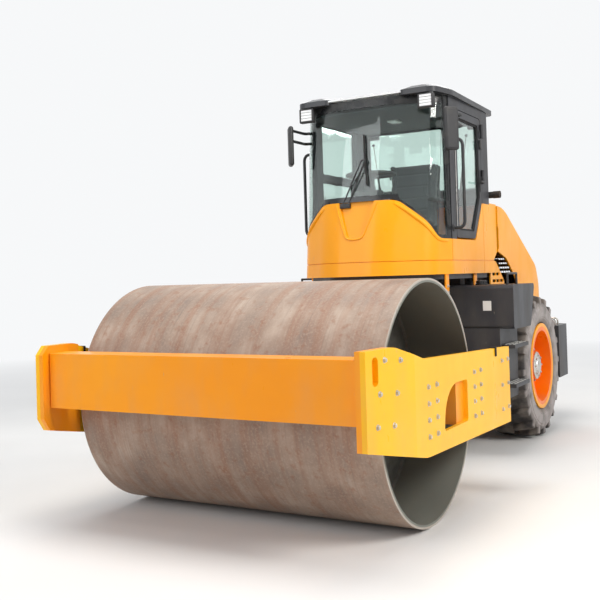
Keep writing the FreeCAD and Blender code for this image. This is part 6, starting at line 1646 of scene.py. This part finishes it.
@dataclass
class Hood:
    """Toggle latches, the pull handle and the vents' mesh on the tilting hood."""

    tail_x: float = -2.6
    latch_side: float = 0.430
    wire_radius: float = 0.0022
    wire_count: int = 33
    wire_start: float = -0.40
    wire_pitch: float = 0.025

    def latches(self) -> None:
        """Two toggle latches, in place of the plain ones."""
        plates, levers = [], []
        face = self.tail_x
        for side in Side:
            y = side.value * self.latch_side
            plates.append(bar("base", (face - 0.006, y - 0.016, 1.090), (face + 0.001, y + 0.016, 1.135),
                              0.002))
            plates.append(bar("eye", (face - 0.016, y - 0.009, 1.104), (face - 0.004, y + 0.009, 1.126),
                              0.003))
            levers.append(bar("lever", (face - 0.018, y - 0.011, 1.040), (face - 0.009, y + 0.011, 1.104),
                              0.003, 3))
            levers.append(bar("root", (face - 0.010, y - 0.014, 1.026), (face + 0.001, y + 0.014, 1.062),
                              0.002))
            levers.append(pipe("loop", [(face - 0.012, y - 0.008, 1.060), (face - 0.018, y - 0.008, 1.112),
                                        (face - 0.018, y + 0.008, 1.112), (face - 0.012, y + 0.008,
                                                                           1.060)], 0.0025, 0.006))
        fit("latch_bases", plates, LATCH_RED, "hood")
        lever = fit("latch_levers", levers, BRIGHT_STEEL, "hood")
        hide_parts("hood_latches")

    def grip(self) -> None:
        """The pull handle let into the hood's rear face."""
        face = self.tail_x
        tray = bar("tray", (face + 0.002, -0.088, 1.058), (face + 0.009, 0.088, 1.090), 0.002)
        dress(tray, BLACK_PLASTIC, "hood")
        pull = bar("hood_pull", (face - 0.006, -0.050, 1.066), (face + 0.003, 0.050, 1.082), 0.003, 3)
        dress(pull, BRIGHT_STEEL, "hood")

    def mesh(self) -> None:
        """A wire mesh behind the vents, lying inside the hood's rear wall."""
        wires = []
        inner = []
        for z in (1.35, 1.42, 1.49, 1.56, 1.63, 1.69):
            skin = touch("hood_shell", (-3.2, 0.456, z), FRONT)
            inner.append((skin.x + 0.030, z))
        for index in range(self.wire_count):
            y = self.wire_start + index * self.wire_pitch
            wires.append(pipe("wire", [(x, y, z) for x, z in inner], self.wire_radius, 0.01))
        for x, z in [(inner[i][0] + (inner[i + 1][0] - inner[i][0]) * t,
                      inner[i][1] + (inner[i + 1][1] - inner[i][1]) * t)
                     for i in range(len(inner) - 1) for t in (0.0, 0.34, 0.67)]:
            wires.append(pipe("wire", [(x, -0.405, z), (x, 0.405, z)], self.wire_radius, 0.0))
        fit("vent_mesh", wires, BLACK_PLASTIC, "hood")

    def build(self) -> None:
        """Builds the hood's fittings."""
        self.latches()
        self.grip()
        self.mesh()


@dataclass
class Tail:
    """Bolts, reflector screws and lifting loops on the counterweight."""

    bay_face: float = -2.685
    reflector_face: float = -2.700
    top: float = 0.975

    def build(self) -> None:
        """Builds the counterweight's fittings."""
        button = mm(0, -2, 21, -2, 21, 4, 16, 12, 8, 15, 0, 16)
        bay = [(Vector((self.bay_face, side.value * y, z)), -FRONT) for side in Side for y,
               z in ((0.405, 0.905), (0.335, 0.765))]
        dress(copies("weight_bolts", lathe("button", button, Vector(), UP, 28), bay), BRIGHT_STEEL)
        screw = [(radius * 0.62, along * 0.6) for radius, along in button]
        spots = [(Vector((self.reflector_face, side.value * 0.092, 0.848)), -FRONT) for side in Side]
        dress(copies("reflector_screws", lathe("screw", screw, Vector(), UP, 24), spots), BRIGHT_STEEL)
        loops = []
        for x in (-2.50, -2.40):
            loops.append(pipe("loop", [(x, 0.770, self.top - 0.004), (x, 0.770, self.top + 0.060),
                                       (x, 0.850, self.top + 0.060),
                                       (x, 0.850, self.top - 0.004)], 0.009, 0.030))
        left = joined("lifting_loops", loops)
        both_sides(left, BRIGHT_STEEL)


@dataclass
class EngineAir:
    """Bands, clamps and openings on the muffler and the air cleaner."""

    middle_x: float = -1.13
    muffler_z: float = 2.225
    muffler_radius: float = 0.075
    cleaner_z: float = 2.24
    cleaner_radius: float = 0.095
    cap_y: float = -0.26
    fin_count: int = 16

    def bands(self, y: float, z: float, radius: float) -> Piece:
        """A strap round a can."""
        section = [(radius - 0.002, -0.012), (radius + 0.003, -0.012), (radius + 0.003, 0.012),
                   (radius - 0.002, 0.012)]
        return lathe("band", section, Vector((self.middle_x, y, z)), LEFT, 56, 0.001)

    def build(self) -> None:
        """Builds the fittings of both."""
        rings = [self.bands(y, self.muffler_z, self.muffler_radius) for y in (0.14, 0.31, 0.48)]
        fit("muffler_straps", rings, DARK_CASTING)
        mouth = lathe("tail_pipe_mouth", mm(22, -60, 32.5, -60, 32.5, 3, 26, 4, 25.5, -2, 22, -4),
                      Vector((self.middle_x, 0.700, self.muffler_z)), LEFT, 40)
        dress(mouth, BURNT_BLACK)
        clamps = [self.bands(y, self.cleaner_z, self.cleaner_radius) for y in (-0.50, -0.20)]
        latches = [bar("clip", (self.middle_x - 0.102, y - 0.010, self.cleaner_z - 0.02),
                       (self.middle_x - 0.094, y + 0.010, self.cleaner_z + 0.03), 0.002) for y in (-0.50,
                                                                                                   -0.20)]
        fit("cleaner_straps", clamps + latches, BRIGHT_STEEL)
        cap = lathe("pre_cleaner_rim", mm(103, 2440, 107.5, 2444, 107.5, 2458, 103, 2462),
                    Vector((self.middle_x, self.cap_y, 0.0)), UP, 56)
        fins = [bar("fin", (-0.0035, 0.060, 2.502), (0.0035, 0.101, 2.512),
                    0.001) for _ in range(self.fin_count)]
        for index, fin in enumerate(fins):
            turn = Matrix.Rotation(index * math.tau / self.fin_count, 4, "Z")
            turned(fin, Matrix.Translation((self.middle_x, self.cap_y, 0.0)) @ turn)
        fit("pre_cleaner_trim", [cap] + fins, GREY_PLASTIC)


def finish_nodes() -> None:
    """Gives every CAD node the finish of its slot."""
    slots = {part["node"]: part["material_slot"] for part in frame["record"]["subparts"]}
    for name, node in frame["nodes"].items():
        node.data.materials.clear()
        node.data.materials.append(NODE_FINISH[slots[name]].material())
    for name, finish in OWN_FINISH.items():
        frame["nodes"][name].data.materials[0] = finish.material()


def main() -> None:
    """Builds the scene in order."""
    logging.basicConfig(level=logging.INFO, format="%(message)s")
    Studio().build()
    finish_nodes()
    assemblies = (
        Drum(), FrontFrame(), SteeringJoint(), Wheel(Side.LEFT), Wheel(Side.RIGHT), CabGlazing(), CabFittings(),
        Seat(), Controls(), CabUnderside(), Tanks(), Hood(), Tail(), EngineAir(),
    )
    for assembly in assemblies:
        assembly.build()


if __name__ == "__main__":
    main()
